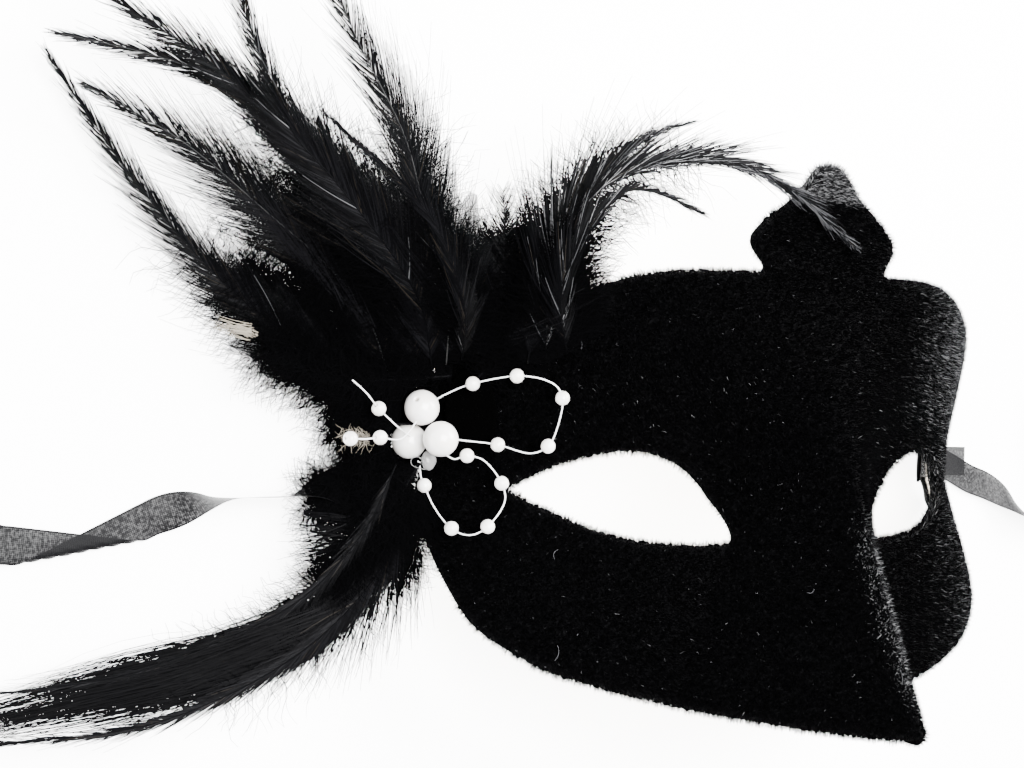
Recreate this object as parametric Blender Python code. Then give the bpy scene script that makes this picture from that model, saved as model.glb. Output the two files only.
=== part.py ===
"""Venetian half mask with a feather plume, a pearl spray and ribbon ties.

The mask lies face up on its two temple rims: X runs to the wearer's left, Y up the face, Z out of
the face, and Z = 0 is the surface that it lies on.  Lengths are in millimetres until MM turns them
into metres.
"""
import bpy
import bmesh
from math import cos, pi, radians, sin, sqrt
from mathutils import Vector
from mathutils.geometry import delaunay_2d_cdt, interpolate_bezier

MM = 0.001
GAP = 0.3                     # clear space between pieces that touch

# ---- driving dimensions of the face --------------------------------------------------------
FACE_HALF_WIDTH = 93.0        # half axis of the oval that the face is bent round
FACE_DEPTH = 59.0             # depth of that oval
CHEEK_SPREAD = 0.48           # how much flatter the face gets per mm below the eyes
REST_DROP = 60.0              # from the bridge of the nose down to the surface that it lies on
RIM_DROP = 2.8                # the turned-in edge reaches this far below the face at the temples
RIBBON_ARCH = 2.2             # the rim is lifted this much where the ribbon passes under it
NOSE_TIP_Y = -55.0
CREST_TOP_Y = 75.5
VELVET = 0.7                  # flocked cloth
SHELL = 1.2                   # moulded shell
VELVET_TOP = -0.4             # the cloth's face lies inside the tips of its pile
HEM = 2.2                     # how far the cloth is turned in behind an edge
RIM_STEP = 5.0                # spacing of points along an edge
FACE_STEP = 7.5               # spacing of points over the face

# ---- trim -----------------------------------------------------------------------------------
PEARL_R = 4.0
BEAD_R = 1.65
BEAD_HOLE_R = 0.62
LINE_R = 0.25
RIBBON_WIDTH = 8.0
RIBBON_THICK = 0.4
ROLL_MEAN_R = 25.0
ROLL_HALF_BAND = 7.5
TABLE_CLEAR = 0.05            # the ribbons lie this far clear of the surface
BLADE_THICK = 0.9             # a feather's web and quill together, at the quill
QUILL_HALF_WIDTH = 0.7
PAD_CENTRE = (-80.5, 17.0)    # the felt pad, over the wearer's right temple
PAD_HALF_SIZE = (6.0, 10.0)
PAD_THICK = 0.9
PATCH_CENTRE = (80.0, 4.0)    # the felt patch behind a temple, over the ribbon's glued end
PATCH_HALF_SIZE = (2.8, 5.5)
PATCH_THICK = 0.8
PATCH_BEHIND = 2.4            # from the ribbon's layer back to the patch
GLUE_CENTRE = (-88.2, 5.2, 9.0)
GLUE_RADII = (2.0, 2.4, 1.6)


# ---- helpers ----------------------------------------------------------------------------------
def ease(low, high, x):
    t = min(1.0, max(0.0, (x - low) / (high - low)))
    return t * t * (3 - 2 * t)


def along(table, x):
    """Straight-line reading of a short table of (x, value) pairs."""
    if x <= table[0][0]:
        return table[0][1]
    for (x0, y0), (x1, y1) in zip(table, table[1:]):
        if x <= x1:
            return y0 + (y1 - y0) * (x - x0) / (x1 - x0)
    return table[-1][1]


def smooth_route(points, steps):
    """A smooth curve through the points, with the given number of steps between two of them."""
    points = [Vector(p) for p in points]
    last = len(points) - 1
    route = []
    for i in range(last):
        p0, p1 = points[i], points[i + 1]
        before = points[i - 1] if i > 0 else p0
        after = points[i + 2] if i + 2 <= last else p1
        knots = (p0, p0 + (p1 - before) / 6, p1 - (after - p0) / 6, p1)
        route += interpolate_bezier(*knots, steps + 1)[:steps]
    return route + [points[-1]]


def resample(route, spacing):
    """Points at an even spacing along a route."""
    lengths = [0.0]
    for a, b in zip(route, route[1:]):
        lengths.append(lengths[-1] + (b - a).length)
    count = max(2, round(lengths[-1] / spacing))
    result = []
    i = 0
    for k in range(count + 1):
        target = lengths[-1] * k / count
        while i < len(route) - 2 and lengths[i + 1] < target:
            i += 1
        share = (target - lengths[i]) / max(lengths[i + 1] - lengths[i], 1e-9)
        result.append(route[i].lerp(route[i + 1], min(1.0, max(0.0, share))))
    return result


def material(name, color, roughness, metallic=0.0):
    mat = bpy.data.materials.new(name)
    mat.use_nodes = True
    shader = mat.node_tree.nodes["Principled BSDF"]
    shader.inputs["Base Color"].default_value = (*color, 1.0)
    shader.inputs["Roughness"].default_value = roughness
    shader.inputs["Metallic"].default_value = metallic
    return mat


def add_object(name, verts, faces, mat, smooth=True):
    """One named object from points in millimetres."""
    mesh = bpy.data.meshes.new(name)
    mesh.from_pydata([tuple(Vector(v) * MM) for v in verts], [], faces)
    work = bmesh.new()
    work.from_mesh(mesh)
    bmesh.ops.triangulate(work, faces=work.faces)
    bmesh.ops.recalc_face_normals(work, faces=work.faces)
    work.to_mesh(mesh)
    work.free()
    if smooth:
        mesh.shade_smooth()
        mesh.set_sharp_from_angle(angle=radians(40))
    mesh.materials.append(mat)
    obj = bpy.data.objects.new(name, mesh)
    bpy.context.collection.objects.link(obj)
    return obj


def sweep(name, sections, mat):
    """A closed solid through a row of rings with the same number of points."""
    size = len(sections[0])
    verts = [p for ring in sections for p in ring]
    faces = [list(range(size))[::-1], [len(verts) - size + k for k in range(size)]]
    for i in range(len(sections) - 1):
        for k in range(size):
            a, b = i * size + k, i * size + (k + 1) % size
            faces.append((a, b, b + size, a + size))
    return add_object(name, verts, faces, mat)


# ---- the face ---------------------------------------------------------------------------------
def oval(y):
    """Height of the middle of the face and half axis of its oval, at height y up the face."""
    middle = -17.5 + 7.5 * ease(2, 42, y) + 1.5 * ease(5, 35, -y)
    return middle, FACE_HALF_WIDTH + CHEEK_SPREAD * max(0.0, -y)


RIDGE = [(-60, 23.5), (-55, 21.5), (-25, 9.3), (0, 0), (20, -5.2), (40, -9), (50, -10.5), (80, -12)]
NOSE_HALF_WIDTH = [(-60, 44), (-50, 40), (-30, 29), (-13, 24.5), (0, 26), (20, 38), (45, 45)]
RIDGE_ROUND = [(-60, 0.5), (-20, 0.8), (0, 1.5), (25, 9), (50, 20)]


def face_height(x, y):
    """Height of the tips of the pile above the surface that the mask lies on."""
    middle, half_axis = oval(y)
    bend = FACE_DEPTH * (1 - sqrt(max(0.004, 1 - (x / half_axis) ** 2)))
    nose = max(0.0, along(RIDGE, y) - middle)
    width = along(NOSE_HALF_WIDTH, y)
    round_r = along(RIDGE_ROUND, y)
    side = (sqrt(x * x + round_r ** 2) - round_r) / (sqrt(width ** 2 + round_r ** 2) - round_r)
    return REST_DROP + middle - bend + nose * max(0.0, 1 - side) ** 1.35


def face_frame(x, y):
    """A point of the face, its normal, and its directions across and up the face."""
    across = Vector((1, 0, face_height(x + 0.5, y) - face_height(x - 0.5, y))).normalized()
    up = Vector((0, 1, face_height(x, y + 0.5) - face_height(x, y - 0.5)))
    normal = across.cross(up).normalized()
    return Vector((x, y, face_height(x, y))), normal, across, normal.cross(across)


def temple_x(y, height):
    """How far out the face has dropped to a height above the surface, at height y up the face."""
    middle, half_axis = oval(y)
    share = 1 - (REST_DROP + middle - height) / FACE_DEPTH
    return half_axis * sqrt(1 - share * share)


# The temple rim rests on the surface at both ends and arches over the ribbon between them.
TEMPLE = [(temple_x(y, RIM_DROP + lift), y)
          for y, lift in ((19, 0), (14.5, 0), (10, 1.9), (4, RIBBON_ARCH), (-2, 1.9), (-6.5, 0))]
HALF_OUTLINE = [
    [(0.0, CREST_TOP_Y), (3.2, 75.2), (5.5, 72.6), (11, 67.2), (18, 62.6), (22.8, 58.6)],
    [(22.8, 58.6), (22.4, 56.6), (19.6, 53.6), (18.3, 51.2), (19.6, 49.3)],
    [(19.6, 49.3), (26, 49.3), (40, 49.0), (54, 47), (69, 41), (82, 32.4), (87, 23.5), *TEMPLE,
     (88.2, -11.3), (87.8, -16.5), (85, -26.8), (80.4, -33), (69.6, -40), (61, -43), (51, -46),
     (40.5, -48.6), (30, -51), (16, -53.6), (0, NOSE_TIP_Y)]]
EYE = [
    [(22.3, -11.6), (23.8, -7.6), (27.5, -1.6), (33, 4), (41, 8), (49, 9.2), (58, 8), (67, 4.8),
     (75.4, -0.4)],
    [(75.4, -0.4), (70.5, -4), (65, -7), (57, -10.5), (48, -13), (38, -14.2), (29, -14.4),
     (23.2, -13.8), (22.3, -11.6)]]


def rounded_loop(pieces, mirrored):
    """A closed loop on the face from smooth pieces, with its corners eased and evenly spaced."""
    line = []
    for piece in pieces:
        line += smooth_route([(x, y, 0) for x, y in piece], 6)[:-1]
    if mirrored:
        line.append(Vector((*pieces[-1][-1], 0)))
        line += [Vector((-p.x, p.y, 0)) for p in line[-2:0:-1]]
    line = resample(line + [line[0]], 1.0)[:-1]
    for _ in range(2):
        line = [(line[i - 1] + line[i] * 2 + line[(i + 1) % len(line)]) / 4 for i in range(len(line))]
    return resample(line + [line[0]], RIM_STEP)[:-1]


def inside(point, loop):
    hit = False
    for a, b in zip(loop, loop[1:] + loop[:1]):
        if (a.y > point.y) != (b.y > point.y):
            if point.x < a.x + (point.y - a.y) * (b.x - a.x) / (b.y - a.y):
                hit = not hit
    return hit


def face_sheet():
    """The face as one triangulated sheet, with its outer rim and its eye edges as loops."""
    rim = rounded_loop(HALF_OUTLINE, True)
    eye = rounded_loop(EYE, False)
    loops = [rim, eye, [Vector((-p.x, p.y, 0)) for p in eye]]
    columns = [0, 3.2, 8, 14] + [20 + FACE_STEP * k for k in range(10)]
    rows = [NOSE_TIP_Y + 4 + FACE_STEP * k for k in range(18)]
    edge_points = [p for loop in loops for p in loop]
    inner = []
    for x in [-c for c in columns[:0:-1]] + columns:
        for y in rows:
            p = Vector((x, y, 0))
            clear = min((p - q).length for q in edge_points) > 0.45 * FACE_STEP
            if clear and inside(p, rim) and not inside(p, loops[1]) and not inside(p, loops[2]):
                inner.append(p)
    edges, rims, start = [], [], 0
    for loop in loops:
        ids = list(range(start, start + len(loop)))
        edges += list(zip(ids, ids[1:] + ids[:1]))
        rims.append(ids)
        start += len(loop)
    points = edge_points + inner
    flat, _, faces, *_ = delaunay_2d_cdt([p.xy for p in points], edges, [], 1, 1e-6)
    kept = []
    for face in faces:
        centre = sum((Vector((*flat[i], 0)) for i in face), Vector()) / len(face)
        if not inside(centre, loops[1]) and not inside(centre, loops[2]):
            kept.append(face)
    return [Vector((p.x, p.y, face_height(p.x, p.y))) for p in flat], kept, rims


def outward_normals(verts, faces):
    """Each point's normal, lengthened at a crease so that offset layers keep their thickness."""
    work = bmesh.new()
    made = [work.verts.new(v) for v in verts]
    for face in faces:
        work.faces.new([made[i] for i in face])
    work.normal_update()
    facing = 1 if sum(f.normal.z for f in work.faces) > 0 else -1
    normals = [v.normal * facing * min(1.5, v.calc_shell_factor()) for v in made]
    work.free()
    return normals


def layer(verts, normals, offset):
    return [v + n * offset for v, n in zip(verts, normals)]


def edge_frame(verts, normals, ids, face_middle_side):
    """For each point of an edge loop: the way out past the edge, along the face."""
    frames = []
    for k, i in enumerate(ids):
        run = (verts[ids[(k + 1) % len(ids)]] - verts[ids[k - 1]]).normalized()
        normal = normals[i].normalized()
        out = run.cross(normal).normalized() * face_middle_side
        frames.append((i, out))
    return frames


def loop_turn(verts, ids):
    area = 0.0
    for a, b in zip(ids, ids[1:] + ids[:1]):
        area += verts[a].x * verts[b].y - verts[b].x * verts[a].y
    return 1 if area > 0 else -1


def mask_shell(verts, faces, rims, normals, mat):
    outer = VELVET_TOP - VELVET - GAP
    top = layer(verts, normals, outer)
    bottom = layer(verts, normals, outer - SHELL)
    count = len(verts)
    all_faces = [tuple(f) for f in faces] + [tuple(i + count for i in reversed(f)) for f in faces]
    for ids in rims:
        for a, b in zip(ids, ids[1:] + ids[:1]):
            all_faces.append((a, b, b + count, a + count))
    return add_object("mask_shell", top + bottom, all_faces, mat)


def velvet_cover(verts, faces, rims, normals, mat):
    """The flocked cloth: over the face, round every edge and a little way in behind it."""
    under = VELVET_TOP - VELVET
    back = under - 2 * GAP - SHELL
    points = layer(verts, normals, VELVET_TOP) + layer(verts, normals, under)
    count = len(verts)
    all_faces = [tuple(f) for f in faces] + [tuple(i + count for i in reversed(f)) for f in faces]
    for number, ids in enumerate(rims):
        side = loop_turn(verts, ids) * (1 if number == 0 else -1)
        rings = [list(ids)]
        for out, down in ((GAP + VELVET, VELVET_TOP), (GAP + VELVET, back - VELVET),
                          (-HEM, back - VELVET), (-HEM, back), (GAP, back), (GAP, under)):
            ring = []
            for i, away in edge_frame(verts, normals, ids, side):
                ring.append(len(points))
                points.append(verts[i] + normals[i] * down + away * out)
            rings.append(ring)
        rings.append([i + count for i in ids])
        for first, second in zip(rings, rings[1:]):
            for k in range(len(ids)):
                n = (k + 1) % len(ids)
                all_faces.append((first[k], first[n], second[n], second[k]))
    return add_object("velvet_cover", points, all_faces, mat)


# ---- feathers ---------------------------------------------------------------------------------
VIEW_UP = Vector((-0.62, 0.0, 0.79))      # the blades lie square to this, as they are glued


def blade(name, points, half_width, mat, broadest=0.55):
    """A feather as a thin blade along its shaft: a narrow quill, a broad middle and a fine tip."""
    shaft = resample(smooth_route(points, 8), 9.0)
    sections = []
    for i, p in enumerate(shaft):
        run = (shaft[min(i + 1, len(shaft) - 1)] - shaft[max(i - 1, 0)]).normalized()
        side = run.cross(VIEW_UP).normalized()
        normal = side.cross(run).normalized()
        t = i / (len(shaft) - 1)
        swell = min(1.0, t / broadest) if t < broadest else 1 - ((t - broadest) / (1 - broadest)) ** 2
        wide = QUILL_HALF_WIDTH + (half_width - QUILL_HALF_WIDTH) * max(0.0, swell) ** 1.2
        thick = BLADE_THICK / 2 * (1 - 0.5 * t)
        sections.append([p + side * wide, p + normal * thick, p - side * wide, p - normal * thick])
    return sweep(name, sections, mat)


# Name, half width and shaft from the binding to the tip.
FEATHERS = [
    ("plume_feather_1", 4.5,
     [(-97.5, 18.5, 5), (-116, 27, 6), (-142, 45, 6), (-164, 66, 6), (-184, 90, 6)]),
    ("plume_feather_2", 4.5,
     [(-97, 21.5, 7.5), (-106, 38, 10), (-118, 49, 11), (-133, 59, 11.5), (-155, 73, 12),
      (-179, 83, 12.5)]),
    ("plume_feather_3", 5.0,
     [(-95.5, 24, 9.5), (-100, 42, 13.5), (-111, 58, 15), (-132, 78, 16), (-157, 88, 17),
      (-188, 92, 17)]),
    ("plume_feather_4", 5.5,
     [(-93, 25.5, 11.5), (-102, 42, 17), (-118, 60, 18.5), (-130, 72, 19.5), (-150, 87, 20),
      (-175, 99, 20), (-188, 106, 20)]),
    ("plume_feather_5", 5.5,
     [(-90.5, 26.5, 13.5), (-98, 39, 20), (-108, 50, 23.5), (-125, 65, 26), (-138, 76, 27),
      (-147, 92, 28), (-156, 112, 28)]),
    ("plume_feather_6", 5.5,
     [(-88, 27.5, 15.5), (-94, 40, 24), (-101, 52, 28), (-106, 63, 30), (-112, 77, 31),
      (-124, 94, 32), (-137, 114, 33)]),
    ("plume_feather_7", 4.0,
     [(-85.5, 28.5, 18), (-92, 37, 28), (-98, 45, 33), (-105, 55, 36), (-113, 62, 38),
      (-122, 68, 39), (-137, 78, 39)]),
    ("plume_feather_8", 4.5,
     [(-82.5, 29.5, 20.5), (-84, 41, 31), (-86, 55, 34), (-87, 66, 34)]),
    ("side_feather_1", 3.0,
     [(-76, 28, 30), (-79, 42, 36.5), (-79, 55, 40), (-70, 69, 42), (-55, 79, 44), (-41, 84, 45)]),
    ("side_feather_2", 3.0,
     [(-72.5, 29.5, 32), (-79, 43, 40.5), (-79, 59, 45.5), (-68, 70, 49), (-48, 75, 52.5),
      (-31, 74, 53), (-15, 68, 54), (-5, 62, 54), (3, 57, 55)]),
    ("side_feather_3", 2.6,
     [(-69, 31, 35), (-78, 43, 44), (-78, 55, 50), (-70, 65, 53), (-60, 66, 54.5), (-46, 62, 55)]),
    ("tail_feather_1", 3.5,
     [(-96, 4.5, 6.5), (-101, -8, 6), (-108, -19, 5.2), (-120, -29, 4.8), (-141, -38, 4.5),
      (-170, -44, 4), (-207, -47, 4)]),
    ("tail_feather_2", 3.2,
     [(-98.5, 5, 11.5), (-107, -10, 11.5), (-122, -24, 10.5), (-142, -32.5, 9.5), (-168, -39, 9),
      (-208, -41, 8.5)]),
    ("tail_feather_3", 3.5,
     [(-92.5, 0, 7), (-98, -14, 10), (-112, -28, 12), (-130, -39, 12.5), (-152, -47, 12),
      (-172, -50, 11.5), (-205, -50, 11)]),
]


def tuft(name, points, half_width, thick, mat):
    """A marabou tuft as one soft flattened body along its short shaft."""
    shaft = resample(smooth_route(points, 8), 5.0)
    sections = []
    for i, p in enumerate(shaft):
        run = (shaft[min(i + 1, len(shaft) - 1)] - shaft[max(i - 1, 0)]).normalized()
        side = run.cross(VIEW_UP).normalized()
        normal = side.cross(run).normalized()
        t = i / (len(shaft) - 1)
        full = 0.12 + 0.88 * sin(pi * min(1.0, 0.06 + 0.9 * t)) ** 0.7
        ring = []
        for a in [2 * pi * k / 8 for k in range(8)]:
            ring.append(p + (side * half_width * cos(a) + normal * thick / 2 * sin(a)) * full)
        sections.append(ring)
    return sweep(name, sections, mat)


TUFTS = [
    ("marabou_tuft_upper", 7.5, 2.0, [(-106, 13, 10), (-119, 19, 12), (-132, 29, 13)]),
    ("marabou_tuft_side", 6.0, 2.6, [(-79, 35.5, 28), (-72.5, 46, 28.5), (-65, 58, 29)]),
    ("marabou_tuft_lower", 5.0, 2.6, [(-103, 1, 15.5), (-110, -5, 16), (-119, -15, 16)]),
]


# ---- pearl spray ------------------------------------------------------------------------------
PEARLS = [("pearl_top", (-91.6, 17.7, 11.4)), ("pearl_outer", (-91.6, 10.0, 6.6)),
          ("pearl_inner", (-89.4, 10.7, 15.8))]
UPPER_LOOP = [(-87.6, 20.8, 15), (-83.8, 23.3, 20), (-77, 25.2, 27.4), (-71, 24, 31.8),
              (-68.4, 20.4, 33.2), (-68.2, 14, 31.4), (-69.6, 9.5, 29.8), (-73, 7.8, 27.2),
              (-78.4, 9.6, 22.6), (-84.6, 10.4, 18.8)]
LOWER_LOOP = [(-86.4, 6.2, 17), (-84, 7, 18.6), (-80.4, 5.8, 20.6), (-77.4, 0.9, 23), (-77.2, -3.6, 23.8),
              (-81, -8.8, 22.8), (-84.2, -10.8, 20.4), (-87, -9.4, 17.2), (-89, -5, 13.4), (-90, 0, 10.6),
              (-90.4, 2, 9.8)]
UPPER_TAIL = [(-97.6, 13.2, 10.8), (-104.4, 17.4, 12.8), (-109.6, 20.8, 15.5), (-114.4, 23.6, 17)]
LOWER_TAIL = [(-98.5, 10.8, 13.6), (-105, 11, 14.4), (-109, 10.7, 14.8), (-113.5, 10.8, 15.2)]
LINES = [("beaded_line_upper_loop", UPPER_LOOP, (1, 2, 4, 6, 8)),
         ("beaded_line_lower_loop", LOWER_LOOP, (1, 3, 5, 7, 9)),
         ("beaded_line_upper_tail", UPPER_TAIL, (1,)),
         ("beaded_line_lower_tail", LOWER_TAIL, (1, 3))]


NEVER_ALONG = Vector((0.31, 0.17, 0.93))      # a direction that no line here runs in


def round_section(centre, run, radius, sides):
    side = run.cross(NEVER_ALONG).normalized()
    top = side.cross(run)
    angles = [2 * pi * k / sides for k in range(sides)]
    return [centre + (side * cos(a) + top * sin(a)) * radius for a in angles]


def line_through(name, points, mat):
    route = smooth_route(points, 4)
    sections = []
    for i, p in enumerate(route):
        run = (route[min(i + 1, len(route) - 1)] - route[max(i - 1, 0)]).normalized()
        sections.append(round_section(p, run, LINE_R, 5))
    return sweep(name, sections, mat)


def small_bead(name, centre, run, mat):
    """A round bead, drilled through along the line that it sits on."""
    half = sqrt(BEAD_R ** 2 - BEAD_HOLE_R ** 2)
    profile = [(BEAD_HOLE_R, -half * 0.9)]
    profile += [(BEAD_R * cos(a), BEAD_R * sin(a)) for a in [radians(d) for d in (-58, -28, 0, 28, 58)]]
    profile += [(BEAD_HOLE_R, half * 0.9)]
    sides = 9
    rings = []
    for radius, height in profile:
        rings.append(round_section(centre + run * height, run, radius, sides))
    verts = [p for ring in rings for p in ring]
    faces = []
    for i in range(len(rings)):
        j = (i + 1) % len(rings)
        for k in range(sides):
            n = (k + 1) % sides
            faces.append((i * sides + k, i * sides + n, j * sides + n, j * sides + k))
    return add_object(name, verts, faces, mat)


def ball(name, centre, radius, mat):
    work = bmesh.new()
    bmesh.ops.create_icosphere(work, subdivisions=2, radius=radius)
    verts = [v.co + Vector(centre) for v in work.verts]
    faces = [[v.index for v in f.verts] for f in work.faces]
    work.free()
    return add_object(name, verts, faces, mat)


def mound(name, centre, radii, mat):
    """A set drop of hot glue."""
    work = bmesh.new()
    bmesh.ops.create_uvsphere(work, u_segments=10, v_segments=6, radius=1.0)
    verts = [v.co * Vector(radii) + Vector(centre) for v in work.verts]
    faces = [[v.index for v in f.verts] for f in work.faces]
    work.free()
    return add_object(name, verts, faces, mat)


# ---- ribbons ----------------------------------------------------------------------------------
# Each row is a point on the ribbon's middle line and how far the ribbon is stood on its edge there.
RIBBON_RIGHT = [((-90.1, 4, 0.6), 0), ((-93, 4, 0.6), 0), ((-100, 2.4, 0.7), 4),
    ((-108, -0.4, 1.8), 20), ((-118, -2.2, 4.3), 88), ((-128, -2.4, 4.3), 92),
    ((-138, -2.4, 4.2), 90), ((-146, -4.1, 3.3), 46), ((-154, -6.8, 1.6), 12),
    ((-162, -9.8, 0.9), 0), ((-171, -12.6, 0.9), 0), ((-181, -12.2, 1.4), 12),
    ((-190, -11.4, 2.8), 34), ((-202, -11.1, 4.0), 62), ((-212, -11, 4.3), 90),
    ((-222.4, -11, 4.3), 90)]
RIBBON_LEFT = [((90.1, 4, 0.6), 0), ((93, 4, 0.6), 0), ((98, 2.3, 0.8), 0),
    ((105.6, -0.9, 1.0), 0), ((113, -3.1, 1.2), -6), ((119.4, -6, 2.0), -22),
    ((124.7, -9.6, 3.4), -50), ((130, -12.4, 4.0), -72), ((138, -15, 4.3), -88),
    ((147, -16.8, 4.3), -90), ((153.4, -17, 4.3), -90)]
ROLL_CENTRES = {"right": (-234.0, 20.0), "left": (165.0, 14.0)}


def flat_strip(name, rows, width, thick, mat, spacing=4.0):
    """A flat band along a route, stood on its edge by the angle given at each point."""
    route = smooth_route([p for p, _ in rows], 10)
    turns = smooth_route([(turn, 0, 0) for _, turn in rows], 10)
    pairs = [Vector((*p, t.x)) for p, t in zip(route, turns)]
    pairs = resample(pairs, spacing)
    sections = []
    for i, pair in enumerate(pairs):
        p = pair.xyz
        run = (pairs[min(i + 1, len(pairs) - 1)].xyz - pairs[max(i - 1, 0)].xyz).normalized()
        level = Vector((0, 0, 1)).cross(run).normalized()
        upright = run.cross(level).normalized()
        turn = radians(pair.w)
        across = level * cos(turn) + upright * sin(turn)
        through = run.cross(across).normalized()
        reach = abs(across.z) * width / 2 + abs(through.z) * thick / 2
        p.z = max(p.z, reach + TABLE_CLEAR)
        wide, deep = across * width / 2, through * thick / 2
        sections.append([p + wide + deep, p - wide + deep, p - wide - deep, p + wide - deep])
    return sweep(name, sections, mat)


def ribbon_roll(name, centre, mat):
    """The rest of the ribbon, rolled up loosely and stood on its edge: one closed turned ring."""
    inner, outer = ROLL_MEAN_R - ROLL_HALF_BAND, ROLL_MEAN_R + ROLL_HALF_BAND
    sides = 28
    verts, faces = [], []
    top = RIBBON_WIDTH + 3 * TABLE_CLEAR
    for radius, height in ((inner, TABLE_CLEAR), (outer, TABLE_CLEAR), (outer, top), (inner, top)):
        for k in range(sides):
            a = 2 * pi * k / sides
            verts.append((centre[0] + radius * cos(a), centre[1] + radius * sin(a), height))
    for i in range(4):
        j = (i + 1) % 4
        for k in range(sides):
            n = (k + 1) % sides
            faces.append((i * sides + k, i * sides + n, j * sides + n, j * sides + k))
    return add_object(name, verts, faces, mat)


def glued_end(side, mats):
    """The ribbon's fixed end behind the temple, and the patch that is glued over it."""
    label = "left" if side > 0 else "right"
    behind = VELVET_TOP - VELVET - GAP - SHELL - GAP - RIBBON_THICK / 2
    rows = []
    for x, extra in ((78.2, 0.5), (81.0, 1.4), (83.5, 2.8)):
        point, normal, _, _ = face_frame(x, 4)
        point = point + normal * (behind - extra)
        rows.append(((side * point.x, 4, point.z), 0))
    rows += [((side * 83.0, 4, 1.2), 0), ((side * 85.5, 4, 0.5), 0), ((side * 89.4, 4, 0.5), 0)]
    flat_strip(f"ribbon_end_{label}", rows, RIBBON_WIDTH, RIBBON_THICK, mats["ribbon"], 2.5)
    middle, normal, across, up = face_frame(*PATCH_CENTRE)
    middle = middle + normal * (behind - PATCH_BEHIND)
    ring = []
    for k in range(16):
        a = 2 * pi * k / 16
        edge = middle + across * PATCH_HALF_SIZE[0] * cos(a) + up * PATCH_HALF_SIZE[1] * sin(a)
        ring.append(Vector((side * edge.x, edge.y, edge.z)))
    through = Vector((side * normal.x, normal.y, normal.z)) * PATCH_THICK
    sweep(f"ribbon_patch_{label}", [ring, [p - through for p in ring]], mats["felt"])


# ---- where the feathers are fixed -----------------------------------------------------------
def feather_pad(mat):
    """The felt pad that the quills are glued to, on the velvet over the temple."""
    middle, normal, across, up = face_frame(*PAD_CENTRE)
    middle = middle + normal * (VELVET_TOP + GAP + 1.0)
    ring = []
    for k in range(20):
        a = 2 * pi * k / 20
        ring.append(middle + across * PAD_HALF_SIZE[0] * cos(a) + up * PAD_HALF_SIZE[1] * sin(a))
    return sweep("feather_pad", [ring, [p + normal * PAD_THICK for p in ring]], mat)


def build():
    for obj in list(bpy.data.objects):
        bpy.data.objects.remove(obj, do_unlink=True)
    mats = {
        "velvet": material("velvet", (0.006, 0.006, 0.007), 0.95),
        "shell": material("shell", (0.80, 0.75, 0.66), 0.6),
        "felt": material("felt", (0.012, 0.012, 0.013), 0.95),
        "feather": material("feather", (0.01, 0.01, 0.012), 0.55),
        "down": material("down", (0.012, 0.012, 0.013), 0.9),
        "pearl": material("pearl", (0.93, 0.91, 0.87), 0.12),
        "line": material("line", (0.86, 0.86, 0.86), 0.3),
        "glue": material("glue", (0.78, 0.78, 0.76), 0.25),
        "ribbon": material("ribbon", (0.02, 0.02, 0.022), 0.6),
    }
    verts, faces, rims = face_sheet()
    normals = outward_normals(verts, faces)
    mask_shell(verts, faces, rims, normals, mats["shell"])
    velvet_cover(verts, faces, rims, normals, mats["velvet"])
    feather_pad(mats["felt"])
    for name, half_width, points in FEATHERS:
        blade(name, points, half_width, mats["feather"])
    for name, half_width, thick, points in TUFTS:
        tuft(name, points, half_width, thick, mats["down"])
    for name, centre in PEARLS:
        ball(name, centre, PEARL_R, mats["pearl"])
    mound("glue_drop", GLUE_CENTRE, GLUE_RADII, mats["glue"])
    number = 0
    for name, points, beads in LINES:
        line_through(name, points, mats["line"])
        route = smooth_route(points, 4)
        for k in beads:
            number += 1
            i = 4 * k
            run = (route[min(i + 1, len(route) - 1)] - route[i - 1]).normalized()
            small_bead(f"small_pearl_{number:02d}", route[i], run, mats["pearl"])
    for label, rows in (("right", RIBBON_RIGHT), ("left", RIBBON_LEFT)):
        flat_strip(f"ribbon_tie_{label}", rows, RIBBON_WIDTH, RIBBON_THICK, mats["ribbon"])
        ribbon_roll(f"ribbon_roll_{label}", ROLL_CENTRES[label], mats["ribbon"])
    glued_end(1, mats)
    glued_end(-1, mats)


build()
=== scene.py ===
"""The looks of a black velvet half mask with a feather plume, a pearl spray and two organza ribbons.

Lengths are in millimetres until MM turns them into metres.  X runs to the wearer's left, Y up the
face and Z out of the face; Z = 0 is the surface that the mask lies on.
"""
from math import cos, pi, radians, sin, sqrt

import bpy
import bmesh
import numpy as np
from mathutils import Matrix, Vector
from mathutils.geometry import delaunay_2d_cdt, interpolate_bezier


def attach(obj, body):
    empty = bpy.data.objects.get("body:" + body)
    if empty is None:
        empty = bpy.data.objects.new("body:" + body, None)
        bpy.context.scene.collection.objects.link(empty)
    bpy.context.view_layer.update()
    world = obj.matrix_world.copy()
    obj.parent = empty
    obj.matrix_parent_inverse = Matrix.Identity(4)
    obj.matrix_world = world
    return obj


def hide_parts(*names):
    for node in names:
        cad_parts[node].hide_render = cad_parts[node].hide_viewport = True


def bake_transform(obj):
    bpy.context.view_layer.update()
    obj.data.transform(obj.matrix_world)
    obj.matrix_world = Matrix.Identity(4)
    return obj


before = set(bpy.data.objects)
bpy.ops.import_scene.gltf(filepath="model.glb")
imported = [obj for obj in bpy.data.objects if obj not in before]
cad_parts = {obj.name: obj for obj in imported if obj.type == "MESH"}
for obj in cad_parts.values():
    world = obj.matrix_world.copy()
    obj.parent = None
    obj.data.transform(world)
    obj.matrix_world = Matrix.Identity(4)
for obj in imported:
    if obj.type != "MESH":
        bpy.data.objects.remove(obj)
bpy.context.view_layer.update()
MM = 0.001
ROOT = "mask"


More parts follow.
